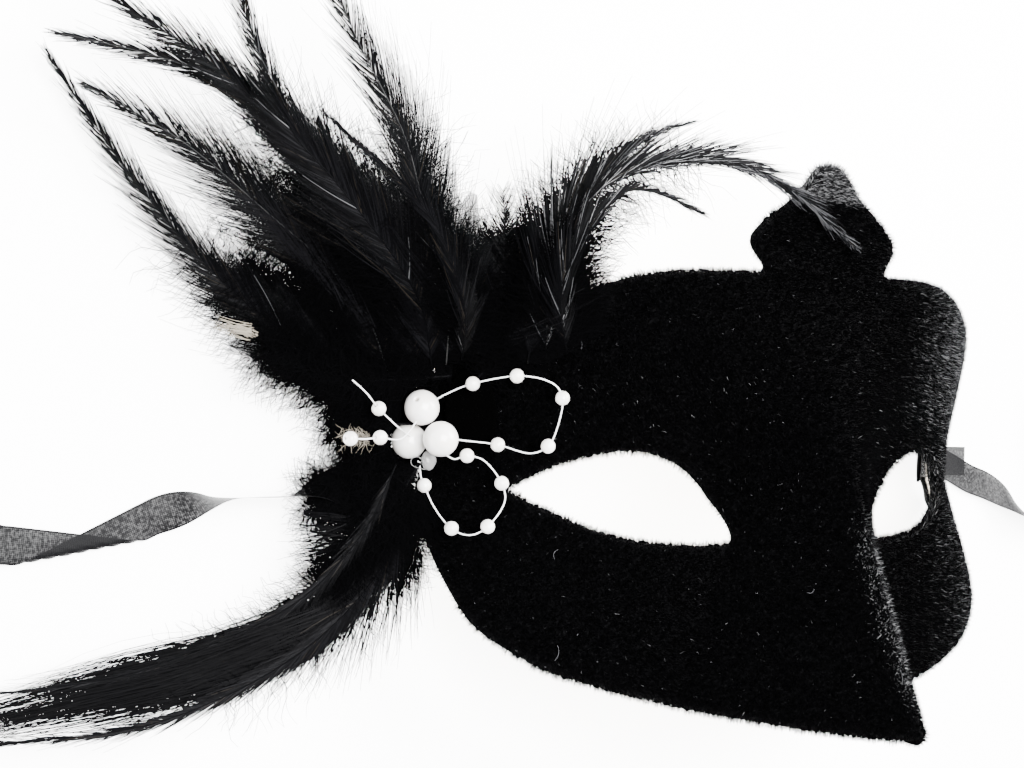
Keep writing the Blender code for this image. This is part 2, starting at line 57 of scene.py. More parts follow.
# ---- camera, light and floor ------------------------------------------------------------------
VIEW_TURN = 38.0              # degrees round from the front of the face to the wearer's right
VIEW_DISTANCE = 550.0
VIEW_ROLL = -1.0
LENS_PER_SENSOR = 2.297       # focal length over sensor width
BRIDGE = Vector((0.0, 0.0, 60.0))                 # the bridge of the nose
BRIDGE_IN_VIEW = Vector((81.4, -24.8))            # how far right and up of the axis it is seen
TABLE_GLOW = 6.0


def view_axes():
    """Right, up and back directions of the camera."""
    turn, roll = radians(VIEW_TURN), radians(VIEW_ROLL)
    back = Vector((-sin(turn), 0, cos(turn)))
    right = Vector((cos(turn), 0, sin(turn)))
    up = back.cross(right)
    return cos(roll) * right - sin(roll) * up, sin(roll) * right + cos(roll) * up, back


def add_camera():
    right, up, back = view_axes()
    place = BRIDGE + back * VIEW_DISTANCE - right * BRIDGE_IN_VIEW.x - up * BRIDGE_IN_VIEW.y
    data = bpy.data.cameras.new("camera")
    data.sensor_width = 36.0
    data.lens = 36.0 * LENS_PER_SENSOR
    data.clip_start = 0.01
    camera = bpy.data.objects.new("camera", data)
    bpy.context.collection.objects.link(camera)
    camera.matrix_world = Matrix.Translation(place * MM) @ Matrix((right, up, back)).transposed().to_4x4()
    bpy.context.scene.camera = camera


def add_lamp(name, place, aim, size, power):
    data = bpy.data.lights.new(name, "AREA")
    data.shape = "RECTANGLE"
    data.size, data.size_y = size
    data.energy = power
    lamp = bpy.data.objects.new(name, data)
    bpy.context.collection.objects.link(lamp)
    lamp.location = place
    lamp.rotation_euler = (Vector(aim) - Vector(place)).to_track_quat("-Z", "Y").to_euler()


def add_studio():
    """A shining white table, a soft white room and two large lamps."""
    world = bpy.data.worlds.new("studio")
    bpy.context.scene.world = world
    world.use_nodes = True
    world.node_tree.nodes["Background"].inputs["Color"].default_value = (1, 1, 1, 1)
    world.node_tree.nodes["Background"].inputs["Strength"].default_value = 1.1
    add_lamp("window", (0.75, 0.45, 0.75), (0, 0, 0.03), (0.7, 0.7), 75.0)
    add_lamp("overhead", (-0.35, 0.15, 1.1), (-0.05, 0, 0), (0.8, 0.8), 90.0)
    bpy.ops.mesh.primitive_plane_add(size=4.0, location=(0, 0, -0.0002))
    floor = bpy.context.active_object
    floor.name = "light_table"
    glass = Finish("opal_glass", (0.9, 0.9, 0.9), 0.6, Emission_Color=(1, 1, 1, 1))
    haze = glass.noise(3.0, 2.0)
    glass.feed("Base Color", glass.mix_color(haze, (0.90, 0.90, 0.90), (0.93, 0.93, 0.93)))
    glass.shader.inputs["Emission Strength"].default_value = TABLE_GLOW
    floor.data.materials.append(glass.material)


# ---- shader writing -----------------------------------------------------------------------------
class Value:
    """A number that a shader works out: ordinary arithmetic on it adds Math nodes."""

    def __init__(self, finish, socket):
        self.finish = finish
        self.socket = socket

    def math(self, operation, *values):
        return self.finish.node("ShaderNodeMath", {"operation": operation}, dict(enumerate(values))).out(0)

    def __add__(self, other):
        return self.math("ADD", self, other)

    __radd__ = __add__

    def __sub__(self, other):
        return self.math("SUBTRACT", self, other)

    def __rsub__(self, other):
        return self.math("SUBTRACT", other, self)

    def __mul__(self, other):
        return self.math("MULTIPLY", self, other)

    __rmul__ = __mul__

    def __abs__(self):
        return self.math("ABSOLUTE", self)

    def sine(self):
        return self.math("SINE", self)

    def clamp(self):
        return self.finish.node("ShaderNodeClamp", Value=self).out(0)

    def step(self, low, high):
        """0 below low, 1 above high, smooth between."""
        smooth = {"interpolation_type": "SMOOTHSTEP"}
        return self.finish.node("ShaderNodeMapRange", smooth, Value=self, From_Min=low, From_Max=high).out(0)


class Made:
    """A node that was added, with its outputs as values."""

    def __init__(self, finish, node):
        self.finish = finish
        self.node = node

    def out(self, name):
        return Value(self.finish, self.node.outputs[name])


class Finish:
    """One material: a Principled shader and the nodes that feed it."""

    def __init__(self, name, color, roughness, **sockets):
        self.material = bpy.data.materials.new(name)
        self.material.use_nodes = True
        self.tree = self.material.node_tree
        self.shader = self.tree.nodes["Principled BSDF"]
        self.shader.inputs["Base Color"].default_value = (*color, 1)
        self.shader.inputs["Roughness"].default_value = roughness
        for socket, value in sockets.items():
            self.shader.inputs[socket.replace("_", " ")].default_value = value

    def node(self, kind, settings=None, numbered=None, **named):
        """Adds a node.  Its sockets go by name, or by number where several share one name."""
        node = self.tree.nodes.new(kind)
        for key, value in (settings or {}).items():
            setattr(node, key, value)
        sockets = {key.replace("_", " "): value for key, value in named.items()} | (numbered or {})
        for key, value in sockets.items():
            if isinstance(value, Value):
                self.tree.links.new(value.socket, node.inputs[key])
            else:
                node.inputs[key].default_value = value
        return Made(self, node)

    def place(self):
        return self.node("ShaderNodeTexCoord").out("Object")

    def noise(self, scale, detail):
        return self.node("ShaderNodeTexNoise", Vector=self.place(), Scale=scale, Detail=detail).out("Fac")

    def mix_color(self, share, first, second):
        colors = {0: share, 6: (*first, 1), 7: (*second, 1)}
        return self.node("ShaderNodeMix", {"data_type": "RGBA"}, colors).out(2)

    def feed(self, socket, value):
        self.tree.links.new(value.socket, self.shader.inputs[socket])

    def bump(self, height, distance, strength=1.0):
        bump = self.node("ShaderNodeBump", Height=height, Distance=distance, Strength=strength)
        self.feed("Normal", bump.out("Normal"))


def velvet_finish():
    """Flocked velvet: near black, with the faint mottling of a pile that doesn't stand evenly."""
    f = Finish("velvet", (0.0010, 0.0010, 0.0011), 0.95, Sheen_Weight=0.03, Sheen_Roughness=0.5,
               Specular_IOR_Level=0.01)
    tufts = f.noise(1500.0, 2.0)
    drift = f.noise(60.0, 3.0)
    speck = tufts.step(0.52, 0.75) * (0.35 + drift)
    f.feed("Base Color", f.mix_color(speck.clamp(), (0.0003, 0.0003, 0.0004), (0.0022, 0.0022, 0.0024)))
    f.feed("Roughness", 0.85 + 0.12 * drift)
    f.bump(tufts + 0.5 * f.noise(420.0, 2.0), 0.0005, 0.8)
    return f.material


def shell_finish():
    """Cream moulded shell: matt, faintly mottled, with the flow marks of moulding."""
    f = Finish("moulded_shell", (0.80, 0.75, 0.65), 0.55)
    cloud = f.noise(35.0, 4.0)
    grain = f.noise(900.0, 2.0)
    f.feed("Base Color", f.mix_color(cloud.step(0.35, 0.7), (0.83, 0.79, 0.70), (0.74, 0.67, 0.56)))
    f.feed("Roughness", 0.5 + 0.2 * grain)
    f.bump(grain + cloud, 0.0002, 0.5)
    return f.material


def felt_finish():
    f = Finish("felt", (0.0003, 0.0003, 0.0003), 0.95, Specular_IOR_Level=0.004)
    fibres = f.noise(2200.0, 4.0)
    f.feed("Base Color", f.mix_color(fibres, (0.0001, 0.0001, 0.0001), (0.0004, 0.0004, 0.0004)))
    f.bump(fibres, 0.0003)
    return f.material


def pearl_finish():
    """Imitation pearl: ivory under a clear gloss, a little greyer where the coating is thin."""
    f = Finish("pearl", (0.92, 0.90, 0.86), 0.16, Coat_Weight=0.7, Coat_Roughness=0.06,
               Sheen_Weight=0.25, Sheen_Tint=(1.0, 0.93, 0.9, 1))
    cloud = f.noise(260.0, 2.0)
    f.feed("Base Color", f.mix_color(cloud.step(0.3, 0.75), (0.95, 0.94, 0.92), (0.84, 0.80, 0.74)))
    f.feed("Roughness", 0.12 + 0.12 * f.noise(900.0, 2.0))
    return f.material


def line_finish():
    f = Finish("white_line", (0.80, 0.80, 0.80), 0.32)
    twist = f.noise(1800.0, 1.0)
    f.feed("Base Color", f.mix_color(twist, (0.70, 0.70, 0.71), (0.90, 0.90, 0.90)))
    f.bump(twist, 0.00005)
    return f.material


def glue_finish():
    f = Finish("hot_glue", (0.40, 0.40, 0.40), 0.18, Transmission_Weight=0.55, IOR=1.48)
    f.feed("Roughness", 0.12 + 0.2 * f.noise(700.0, 2.0))
    f.bump(f.noise(500.0, 2.0), 0.0003)
    return f.material


def organza_finish(name, cover):
    """Sheer ribbon: fine warp and weft threads with open gaps between them, and woven edges."""
    f = Finish(name, (0.003, 0.003, 0.004), 0.5, Specular_IOR_Level=0.08)
    uv = f.node("ShaderNodeSeparateXYZ", Vector=f.node("ShaderNodeUVMap", {"uv_map": "weave"}).out("UV"))
    run, across = uv.out("X"), uv.out("Y")
    wobble = 0.5 * f.noise(160.0, 2.0)
    warp = (across * (2 * pi * RIBBON_WIDTH / WARP_PITCH) + wobble).sine()
    weft = (run * (2 * pi / WEFT_PITCH) + wobble * 2).sine()
    drift = f.noise(90.0, 2.0)
    edge = abs(across - 0.5).step(0.450, 0.468)
    uneven = f.noise(1500.0, 2.0) - 0.5
    threads = 0.012 * weft + 0.008 * warp + 0.14 * uneven
    f.feed("Alpha", (cover + threads + 0.04 * (drift - 0.5) + edge).clamp())
    f.feed("Base Color", f.mix_color(weft.step(-1, 1), (0.0004, 0.0004, 0.0006), (0.002, 0.002, 0.0025)))
    return f.material


def vane_finish():
    """The web of a feather: solid by the shaft, sheer and streaked towards its edge and tip."""
    f = Finish("feather_vane", (0.001, 0.001, 0.001), 0.5, Specular_IOR_Level=0.04)
    uv = f.node("ShaderNodeSeparateXYZ", Vector=f.node("ShaderNodeUVMap", {"uv_map": "vane"}).out("UV"))
    run, across = uv.out("X"), uv.out("Y")
    streaks = f.node("ShaderNodeCombineXYZ", X=run * 260.0 - across * 14.0, Y=across * 2.2).out("Vector")
    streak = f.node("ShaderNodeTexNoise", Vector=streaks, Scale=1.0, Detail=3.0).out("Fac")
    solid = 1.62 - across * 0.70 - run * 1.05
    f.feed("Alpha", (solid + (streak - 0.5) * 0.7).clamp())
    f.feed("Base Color", f.mix_color(streak.step(0.35, 0.7), (0.0005, 0.0005, 0.0007),
                                     (0.0018, 0.0018, 0.0021)))
    f.feed("Roughness", 0.55 + 0.3 * streak)
    return f.material


def plain(name, color, roughness, **sockets):
    """A finish for hairs too fine to hold any pattern of their own."""
    return Finish(name, color, roughness, **sockets).material


# ---- small geometry tools -----------------------------------------------------------------------
def smooth_route(points, steps):
    """A smooth curve through the points, with the given number of steps between two of them."""
    points = [Vector(p) for p in points]
    last = len(points) - 1
    route = []
    for i in range(last):
        p0, p1 = points[i], points[i + 1]
        before = points[i - 1] if i > 0 else p0
        after = points[i + 2] if i + 2 <= last else p1
        knots = (p0, p0 + (p1 - before) / 6, p1 - (after - p0) / 6, p1)
        route += interpolate_bezier(*knots, steps + 1)[:steps]
    return route + [points[-1]]


def resample(route, spacing):
    """Points at an even spacing along a route, as rows of an array."""
    points = np.array([tuple(p) for p in route])
    lengths = np.concatenate([[0], np.cumsum(np.linalg.norm(np.diff(points[:, :3], axis=0), axis=1))])
    count = max(2, round(lengths[-1] / spacing))
    marks = np.linspace(0, lengths[-1], count + 1)
    return np.stack([np.interp(marks, lengths, points[:, k]) for k in range(points.shape[1])], axis=1)


def unit(vectors):
    return vectors / np.maximum(np.linalg.norm(vectors, axis=-1, keepdims=True), 1e-9)


ASKEW = np.array((0.31, 0.17, 0.93))          # a direction that no line here runs along


def directions(points):
    """The way that a row of points runs, at each of them."""
    return unit(np.gradient(points, axis=0))


def mesh_object(name, verts, faces, materials, smooth=True, slots=None):
    """One object from points in millimetres and equal-sided faces."""
    verts = np.asarray(verts, dtype=np.float32) * MM
    mesh = bpy.data.meshes.new(name)
    if isinstance(faces, np.ndarray):
        sides = faces.shape[1]
        mesh.vertices.add(len(verts))
        mesh.vertices.foreach_set("co", verts.ravel())
        mesh.loops.add(faces.size)
        mesh.loops.foreach_set("vertex_index", faces.astype(np.int32).ravel())
        mesh.polygons.add(len(faces))
        mesh.polygons.foreach_set("loop_start", np.arange(0, faces.size, sides, dtype=np.int32))
        mesh.update(calc_edges=True)
    else:
        mesh.from_pydata([tuple(v) for v in verts.tolist()], [], faces)
    if slots is not None:
        mesh.polygons.foreach_set("material_index", np.asarray(slots, dtype=np.int32))
    if smooth:
        mesh.shade_smooth()
    for material in materials:
        mesh.materials.append(material)
    obj = bpy.data.objects.new(name, mesh)
    bpy.context.collection.objects.link(obj)
    return obj


def map_points(obj, name, coords):
    """A UV map from one pair of numbers for each point of the mesh."""
    layer = obj.data.uv_layers.new(name=name)
    corners = np.array([loop.vertex_index for loop in obj.data.loops])
    layer.data.foreach_set("uv", np.array(coords, dtype=np.float32)[corners].ravel())


def face_outwards(obj):
    work = bmesh.new()
    work.from_mesh(obj.data)
    bmesh.ops.recalc_face_normals(work, faces=work.faces)
    work.to_mesh(obj.data)
    work.free()


def settle(obj, slot, *nodes):
    """Where a finished piece of the mask belongs: on the mask's body, in place of the solids that it stands
    for, which it hides; slot is not used.
    """
    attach(obj, ROOT)
    if nodes:
        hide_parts(*nodes)
    return obj


def apply_all(obj):
    """Applies an object's modifiers and its place, so that its mesh holds both."""
    bpy.ops.object.select_all(action="DESELECT")
    obj.select_set(True)
    bpy.context.view_layer.objects.active = obj
    for modifier in list(obj.modifiers):
        bpy.ops.object.modifier_apply(modifier=modifier.name)
    bpy.ops.object.transform_apply(location=True, rotation=True, scale=True)


# ---- the face -----------------------------------------------------------------------------------
FACE_HALF_WIDTH = 93.0
FACE_DEPTH = 59.0
CHEEK_SPREAD = 0.48
REST_DROP = 60.0
RIM_DROP = 2.8
RIBBON_ARCH = 2.2
NOSE_TIP_Y = -55.0
CREST_TOP_Y = 75.5
VELVET = 0.7
SHELL = 1.2
GAP = 0.3
VELVET_TOP = -0.4
HEM = 2.2

RIDGE = [(-60, 23.5), (-55, 21.5), (-25, 9.3), (0, 0), (20, -5.2), (40, -9), (50, -10.5), (80, -12)]
NOSE_HALF_WIDTH = [(-60, 44), (-50, 40), (-30, 29), (-13, 24.5), (0, 26), (20, 38), (45, 45)]
RIDGE_ROUND = [(-60, 0.5), (-20, 0.8), (0, 1.5), (25, 9), (50, 20)]


def ease(low, high, x):
    t = np.clip((x - low) / (high - low), 0.0, 1.0)
    return t * t * (3 - 2 * t)


def read(table, x):
    xs, ys = zip(*table)
    return np.interp(x, xs, ys)


def oval(y):
    """Height of the middle of the face and half axis of its oval, at height y up the face."""
    middle = -17.5 + 7.5 * ease(2, 42, y) + 1.5 * ease(5, 35, -y)
    return middle, FACE_HALF_WIDTH + CHEEK_SPREAD * np.maximum(0.0, -y)


def face_height(x, y):
    middle, half_axis = oval(y)
    bend = FACE_DEPTH * (1 - np.sqrt(np.maximum(0.004, 1 - (x / half_axis) ** 2)))
    nose = np.maximum(0.0, read(RIDGE, y) - middle)
    width, round_r = read(NOSE_HALF_WIDTH, y), read(RIDGE_ROUND, y)
    side = (np.sqrt(x * x + round_r ** 2) - round_r) / (np.sqrt(width ** 2 + round_r ** 2) - round_r)
    return REST_DROP + middle - bend + nose * np.maximum(0.0, 1 - side) ** 1.35


def temple_x(y, height):
    middle, half_axis = oval(y)
    share = 1 - (REST_DROP + middle - height) / FACE_DEPTH
    return float(half_axis * np.sqrt(1 - share * share))


TEMPLE = [(temple_x(y, RIM_DROP + lift), y)
          for y, lift in ((19, 0), (14.5, 0), (10, 1.9), (4, RIBBON_ARCH), (-2, 1.9), (-6.5, 0))]
HALF_OUTLINE = [
    [(0.0, CREST_TOP_Y), (3.2, 75.2), (5.5, 72.6), (11, 67.2), (18, 62.6), (22.8, 58.6)],
    [(22.8, 58.6), (22.4, 56.6), (19.6, 53.6), (18.3, 51.2), (19.6, 49.3)],
    [(19.6, 49.3), (26, 49.3), (40, 49.0), (54, 47), (69, 41), (82, 32.4), (87, 23.5), *TEMPLE,
     (88.2, -11.3), (87.8, -16.5), (85, -26.8), (80.4, -33), (69.6, -40), (61, -43), (51, -46),
     (40.5, -48.6), (30, -51), (16, -53.6), (0, NOSE_TIP_Y)]]
EYE = [
    [(22.3, -11.6), (23.8, -7.6), (27.5, -1.6), (33, 4), (41, 8), (49, 9.2), (58, 8), (67, 4.8),
     (75.4, -0.4)],
    [(75.4, -0.4), (70.5, -4), (65, -7), (57, -10.5), (48, -13), (38, -14.2), (29, -14.4),
     (23.2, -13.8), (22.3, -11.6)]]


def rounded_loop(pieces, mirrored, spacing):
    """A closed loop on the face from smooth pieces, with its corners eased and evenly spaced."""
    line = []
    for piece in pieces:
        line += smooth_route([(x, y, 0) for x, y in piece], 6)[:-1]
    if mirrored:
        line.append(Vector((*pieces[-1][-1], 0)))
        line += [Vector((-p.x, p.y, 0)) for p in line[-2:0:-1]]
    line = resample(line + [line[0]], 1.0)[:-1]
    for _ in range(2):
        line = (np.roll(line, 1, axis=0) + 2 * line + np.roll(line, -1, axis=0)) / 4
    return resample(np.concatenate([line, line[:1]]), spacing)[:-1, :2]


def inside(points, loop):
    hit = np.zeros(len(points), dtype=bool)
    for a, b in zip(loop, np.roll(loop, -1, axis=0)):
        crosses = (a[1] > points[:, 1]) != (b[1] > points[:, 1])
        if a[1] != b[1]:
            level = a[0] + (points[:, 1] - a[1]) * (b[0] - a[0]) / (b[1] - a[1])
            hit ^= crosses & (points[:, 0] < level)
    return hit


class FaceSheet:
    """The face as one triangulated sheet, with its rim and its two eye edges as loops."""

    def __init__(self, spacing, edge_spacing):
        rim = rounded_loop(HALF_OUTLINE, True, edge_spacing)
        eye = rounded_loop(EYE, False, edge_spacing)
        loops = [rim, eye, eye * (-1, 1)]
        edge = np.concatenate(loops)
        half = np.concatenate([[0, 1.2, 2.6], np.arange(4.4, 92, spacing)])
        columns = np.concatenate([-half[:0:-1], half])
        rows = np.arange(NOSE_TIP_Y, CREST_TOP_Y, spacing)
        xs, ys = np.meshgrid(columns, rows)
        ys = ys + (np.arange(len(columns)) % 2) * spacing / 2
        grid = np.stack([xs.ravel(), ys.ravel()], axis=1)
        keep = inside(grid, rim) & ~inside(grid, loops[1]) & ~inside(grid, loops[2])
        grid = grid[keep]
        clear = np.ones(len(grid), dtype=bool)
        for p in edge:
            clear &= np.hypot(*(grid - p).T) > 0.5 * spacing
        points = np.concatenate([edge, grid[clear]])
        edges, self.loops, start = [], [], 0
        for loop in loops:
            ids = list(range(start, start + len(loop)))
            edges += list(zip(ids, ids[1:] + ids[:1]))
            self.loops.append(ids)
            start += len(loop)
        flat, _, faces, *_ = delaunay_2d_cdt([Vector(p) for p in points.tolist()], edges, [], 1, 1e-6)
        flat, faces = np.array([tuple(p) for p in flat]), np.array(faces)
        middle = flat[faces].mean(axis=1)
        self.faces = faces[~inside(middle, loops[1]) & ~inside(middle, loops[2])]
        self.points = np.column_stack([flat, face_height(flat[:, 0], flat[:, 1])])
        self.normals = self.find_normals()

    def find_normals(self):
        """Point normals, lengthened at a crease so that offset layers keep their thickness."""
        work = bmesh.new()
        made = [work.verts.new(v) for v in self.points]
        for face in self.faces.tolist():
            work.faces.new([made[i] for i in face])
        work.normal_update()
        facing = 1 if sum(f.normal.z for f in work.faces) > 0 else -1
        normals = np.array([tuple(v.normal * facing * min(1.5, v.calc_shell_factor())) for v in made])
        work.free()
        return normals

    def layer(self, offset):
        return self.points + self.normals * offset

    def away(self, number):
        """At each point of an edge loop, the way out past the edge, along the face."""
        ids = self.loops[number]
        ring = self.points[ids]
        run = unit(np.roll(ring, -1, axis=0) - np.roll(ring, 1, axis=0))
        area = np.sum(ring[:, 0] * np.roll(ring[:, 1], -1) - np.roll(ring[:, 0], -1) * ring[:, 1])
        side = np.sign(area) * (1 if number == 0 else -1)
        return unit(np.cross(run, unit(self.normals[ids]))) * side

    def solid(self, name, top, bottom, rings, materials):
        """A closed skin between two layers whose edges run through the given rings."""
        count = len(self.points)
        points = [self.layer(top), self.layer(bottom)]
        faces = [tuple(f) for f in self.faces.tolist()]
        faces += [tuple(i + count for i in reversed(f)) for f in self.faces.tolist()]
        total = 2 * count
        for number, ids in enumerate(self.loops):
            out = self.away(number)
            made = [list(ids)]
            for past, down in rings:
                points.append(self.points[ids] + self.normals[ids] * down + out * past)
                made.append(list(range(total, total + len(ids))))
                total += len(ids)
            made.append([i + count for i in ids])
            for first, second in zip(made, made[1:]):
                for k in range(len(ids)):
                    n = (k + 1) % len(ids)
                    faces.append((first[k], first[n], second[n], second[k]))
        obj = mesh_object(name, np.concatenate(points), faces, materials)
        face_outwards(obj)
        return obj


def add_shell():
    sheet = FaceSheet(4.0, 2.0)
    outer = VELVET_TOP - VELVET - GAP
    shell = sheet.solid("mask_shell_moulding", outer, outer - SHELL, [], [shell_finish()])
    settle(shell, "shell", "mask_shell")


def cloth_rings():
    """How the cloth goes round an edge: over it in a half round, and a little way in behind."""
    under = VELVET_TOP - VELVET
    back = under - 2 * GAP - SHELL
    middle = (VELVET_TOP + back - VELVET) / 2
    half = (VELVET_TOP - back + VELVET) / 2
    turn = [radians(a) for a in (60, 30, 0, -30, -60, -90)]
    round_edge = [((GAP + VELVET) * cos(a), middle + half * sin(a)) for a in turn]
    return round_edge + [(-HEM * 0.6, back - VELVET), (-HEM, back - VELVET * 0.8), (-HEM, back),
                         (GAP, back), (GAP, under)]


PILE_LENGTH = (0.8, 1.8)
PILE_WIDTH = 0.20
PILE_PER_PIECE = 190000
PILE_ROOT = 0.1                # how far a tuft starts below the cloth's face
PILE_LOWEST = 0.02
PILE_SCATTER = 0.30            # how unevenly the tufts lean
NAP = 0.22                     # how far they all lean down the face
TURNED_IN = -0.25              # faces that look further down than this are the hem, with no pile
LINT_COUNT = 260
LINT_FIBRES = 13               # how many of the lint specks are long curled fibres
LINT_WIDTH = 0.075
LINT_LIFT = 0.95               # lint lies on top of the pile
LINT_LOWEST = 14.0             # none is caught on the parts of the face below this


def triangle_points(verts, faces, count, draw):
    """Evenly spread points on a triangulated surface, with the face normal at each."""
    a, b, c = verts[faces[:, 0]], verts[faces[:, 1]], verts[faces[:, 2]]
    normal = np.cross(b - a, c - a)
    area = np.linalg.norm(normal, axis=1)
    chosen = draw.choice(len(faces), size=count, p=area / area.sum())
    u, v = draw.random(count), draw.random(count)
    flip = u + v > 1
    u[flip], v[flip] = 1 - u[flip], 1 - v[flip]
    spot = a[chosen] + (b - a)[chosen] * u[:, None] + (c - a)[chosen] * v[:, None]
    return spot, unit(normal)[chosen]


def painted_pile_sheen(spot):
    """0 where the pile stands black, up to 1 where it is painted grey as painted sheen: grazing light on the
    crest, far brow, far cheek and nose ridge, in wavy patches.
    """
    x, y = spot[:, 0], spot[:, 1]
    crest = ease(66.5, 71, y) * 2.2
    brow = ease(24, 62, x) * ease(6, 34, y) * 0.5
    cheek = ease(40, 84, x) * 0.30
    ridge = np.exp(-((x + 0.2) / 2.0) ** 2) * ease(-2, -14, y) * ease(-52, -40, y)
    cloud = 0.5 + 0.5 * np.sin(x * 0.9 + 2 * np.sin(y * 0.7)) * np.sin(y * 0.8 + 2 * np.sin(x * 0.5))
    return np.clip((crest + brow + cheek + ridge) * (0.55 + 0.6 * cloud), 0, 1)


def add_velvet():
    """The cloth and its pile, which is thickest to see where the face turns away from the eye."""
    sheet = FaceSheet(2.4, 1.3)
    cloth = sheet.solid("velvet_cloth", VELVET_TOP, VELVET_TOP - VELVET, cloth_rings(), [velvet_finish()])
    settle(cloth, "velvet", "velvet_cover")
    mesh = cloth.data
    mesh.calc_loop_triangles()
    verts = np.array([v.co for v in mesh.vertices]) / MM
    faces = np.array([t.vertices[:] for t in mesh.loop_triangles])
    layer_size = len(sheet.points)
    inner = np.all((faces[:, :2] >= layer_size) & (faces[:, :2] < 2 * layer_size), axis=1)
    corners = verts[faces]
    middle_x = corners.mean(axis=1)[:, 0]
    normals = unit(np.cross(corners[:, 1] - corners[:, 0], corners[:, 2] - corners[:, 0]))
    turned_in = normals[:, 2] < TURNED_IN
    # pile_dark, pile_grey and pile_light are lit copies of the pile's black: painted sheen where the face
    # catches grazing light, besides a small random share of each.
    tones = [plain("pile_black", (0.0005, 0.0005, 0.0006), 0.8, Specular_IOR_Level=0.01),
             plain("pile_dark", (0.0016, 0.0016, 0.0018), 0.8, Specular_IOR_Level=0.02),
             plain("pile_grey", (0.028, 0.028, 0.029), 0.7, Specular_IOR_Level=0.05),
             plain("pile_light", (0.16, 0.16, 0.165), 0.7, Specular_IOR_Level=0.1)]
    halves = (("velvet_pile_right", middle_x < 0), ("velvet_pile_left", middle_x >= 0))
    for number, (name, side) in enumerate(halves):
        draw = np.random.default_rng(11 + number)
        spot, normal = triangle_points(verts, faces[side & ~inner & ~turned_in], PILE_PER_PIECE, draw)
        x, y = spot[:, 0], spot[:, 1]
        lean = draw.normal(0, PILE_SCATTER, spot.shape)
        nap = np.column_stack([np.sin(y / 9.0), np.full(len(spot), -0.8), np.zeros(len(spot))]) * NAP
        way = unit(normal + lean + nap)
        uneven = 1 + 0.25 * np.sin(x * 2.1) * np.sin(y * 1.7)
        length = draw.uniform(*PILE_LENGTH, len(spot)) * uneven
        across = unit(np.cross(way, draw.normal(0, 1, spot.shape))) * PILE_WIDTH / 2
        root = spot - normal * PILE_ROOT
        tip = spot + way * length[:, None]
        points = np.stack([root - across, root + across, tip], axis=1).reshape(-1, 3)
        points[:, 2] = np.maximum(points[:, 2], PILE_LOWEST)
        # Painted sheen: fibres get the lighter finishes more often where the face catches grazing light.
        sheen_share = painted_pile_sheen(spot)
        chance = draw.random(len(spot))
        tone = (chance < 0.08 + 0.9 * sheen_share).astype(np.int32)
        tone[chance < 0.004 + 0.60 * sheen_share] = 2
        tone[chance < 0.0012 + 0.30 * sheen_share ** 1.5] = 3
        faces_of_pile = np.arange(len(points)).reshape(-1, 3)
        settle(mesh_object(name, points, faces_of_pile, tones, False, tone), "velvet")
    return verts, faces[~inner]


def add_lint(verts, faces):
    """Pale specks and a few curled fibres caught in the pile."""
    draw = np.random.default_rng(5)
    front = faces[verts[faces].mean(axis=1)[:, 2] > LINT_LOWEST]
    spot, normal = triangle_points(verts, front, LINT_COUNT, draw)
    paths = []
    for k in range(LINT_COUNT):
        size = draw.uniform(1.6, 4.0) if k < LINT_FIBRES else draw.uniform(0.12, 0.45)
        turn = draw.normal(0, 1, 3)
        way = unit(np.cross(normal[k], turn))
        other = np.cross(normal[k], way)
        bend = draw.uniform(0.3, 2.6)
        s = np.linspace(0, 1, HAIR_STEPS)
        curve = (np.outer(np.sin(bend * s) / bend * size, way)
                 + np.outer((1 - np.cos(bend * s)) / bend * size, other))
        paths.append(spot[k] + normal[k] * LINT_LIFT + curve)
    paths = np.array(paths)
    finish = plain("lint", (0.045, 0.045, 0.05), 0.8)
    lint = hairs("velvet_lint", paths, np.full(paths.shape[:2], LINT_WIDTH), [finish])
    settle(lint, "velvet")


# ---- hairs: barbs, down and lint ----------------------------------------------------------------
TOWARDS_EYE = np.array([-0.62, 0.0, 0.79])
HAIR_LOWEST = 0.12
HAIR_STEPS = 7                 # points in each long hair or strand of down


def hairs(name, paths, widths, materials, slots=None):
    """Flat fine strands: paths is strands x points x 3, widths is strands x points."""
    run = unit(np.gradient(paths, axis=1))
    side = unit(np.cross(run, TOWARDS_EYE)) * widths[..., None] / 2
    paths = paths.copy()
    paths[..., 2] = np.maximum(paths[..., 2], HAIR_LOWEST)
    left, right = paths - side, paths + side
    strands, steps = paths.shape[:2]
    points = np.stack([left, right], axis=2).reshape(-1, 3)
    base = (np.arange(strands)[:, None] * steps + np.arange(steps - 1)[None, :]) * 2
    faces = np.stack([base, base + 1, base + 3, base + 2], axis=2).reshape(-1, 4)
    which = None if slots is None else np.repeat(slots, steps - 1)
    return mesh_object(name, points, faces, materials, False, which)


def join(name, pieces):
    """Several objects as one."""
    bpy.ops.object.select_all(action="DESELECT")
    for piece in pieces:
        piece.select_set(True)
    bpy.context.view_layer.objects.active = pieces[0]
    bpy.ops.object.join()
    joined = bpy.context.active_object
    joined.name = name
    return joined


def tube(name, points, radii, materials, sides):
    """A round tapering tube through a row of points, with closed ends."""
    points = np.asarray(points)
    run = directions(points)
    side = unit(np.cross(run, ASKEW))
    top = np.cross(side, run)
    angles = np.arange(sides) * 2 * pi / sides
    circle = side[:, None] * np.cos(angles)[None, :, None] + top[:, None] * np.sin(angles)[None, :, None]
    rings = points[:, None] + circle * np.asarray(radii)[:, None, None]
    count = len(points)
    faces = [list(range(sides))[::-1], [(count - 1) * sides + k for k in range(sides)]]
    for i in range(count - 1):
        for k in range(sides):
            a, b = i * sides + k, i * sides + (k + 1) % sides
            faces.append((a, b, b + sides, a + sides))
    obj = mesh_object(name, rings.reshape(-1, 3), faces, materials)
    face_outwards(obj)
    return obj


def read_rows(rows, share):
    """Rows of three numbers, read at shares of the way from the first row to the last."""
    marks = np.linspace(0, 1, len(rows))
    return np.stack([np.interp(share, marks, rows[:, k]) for k in range(3)], axis=-1)


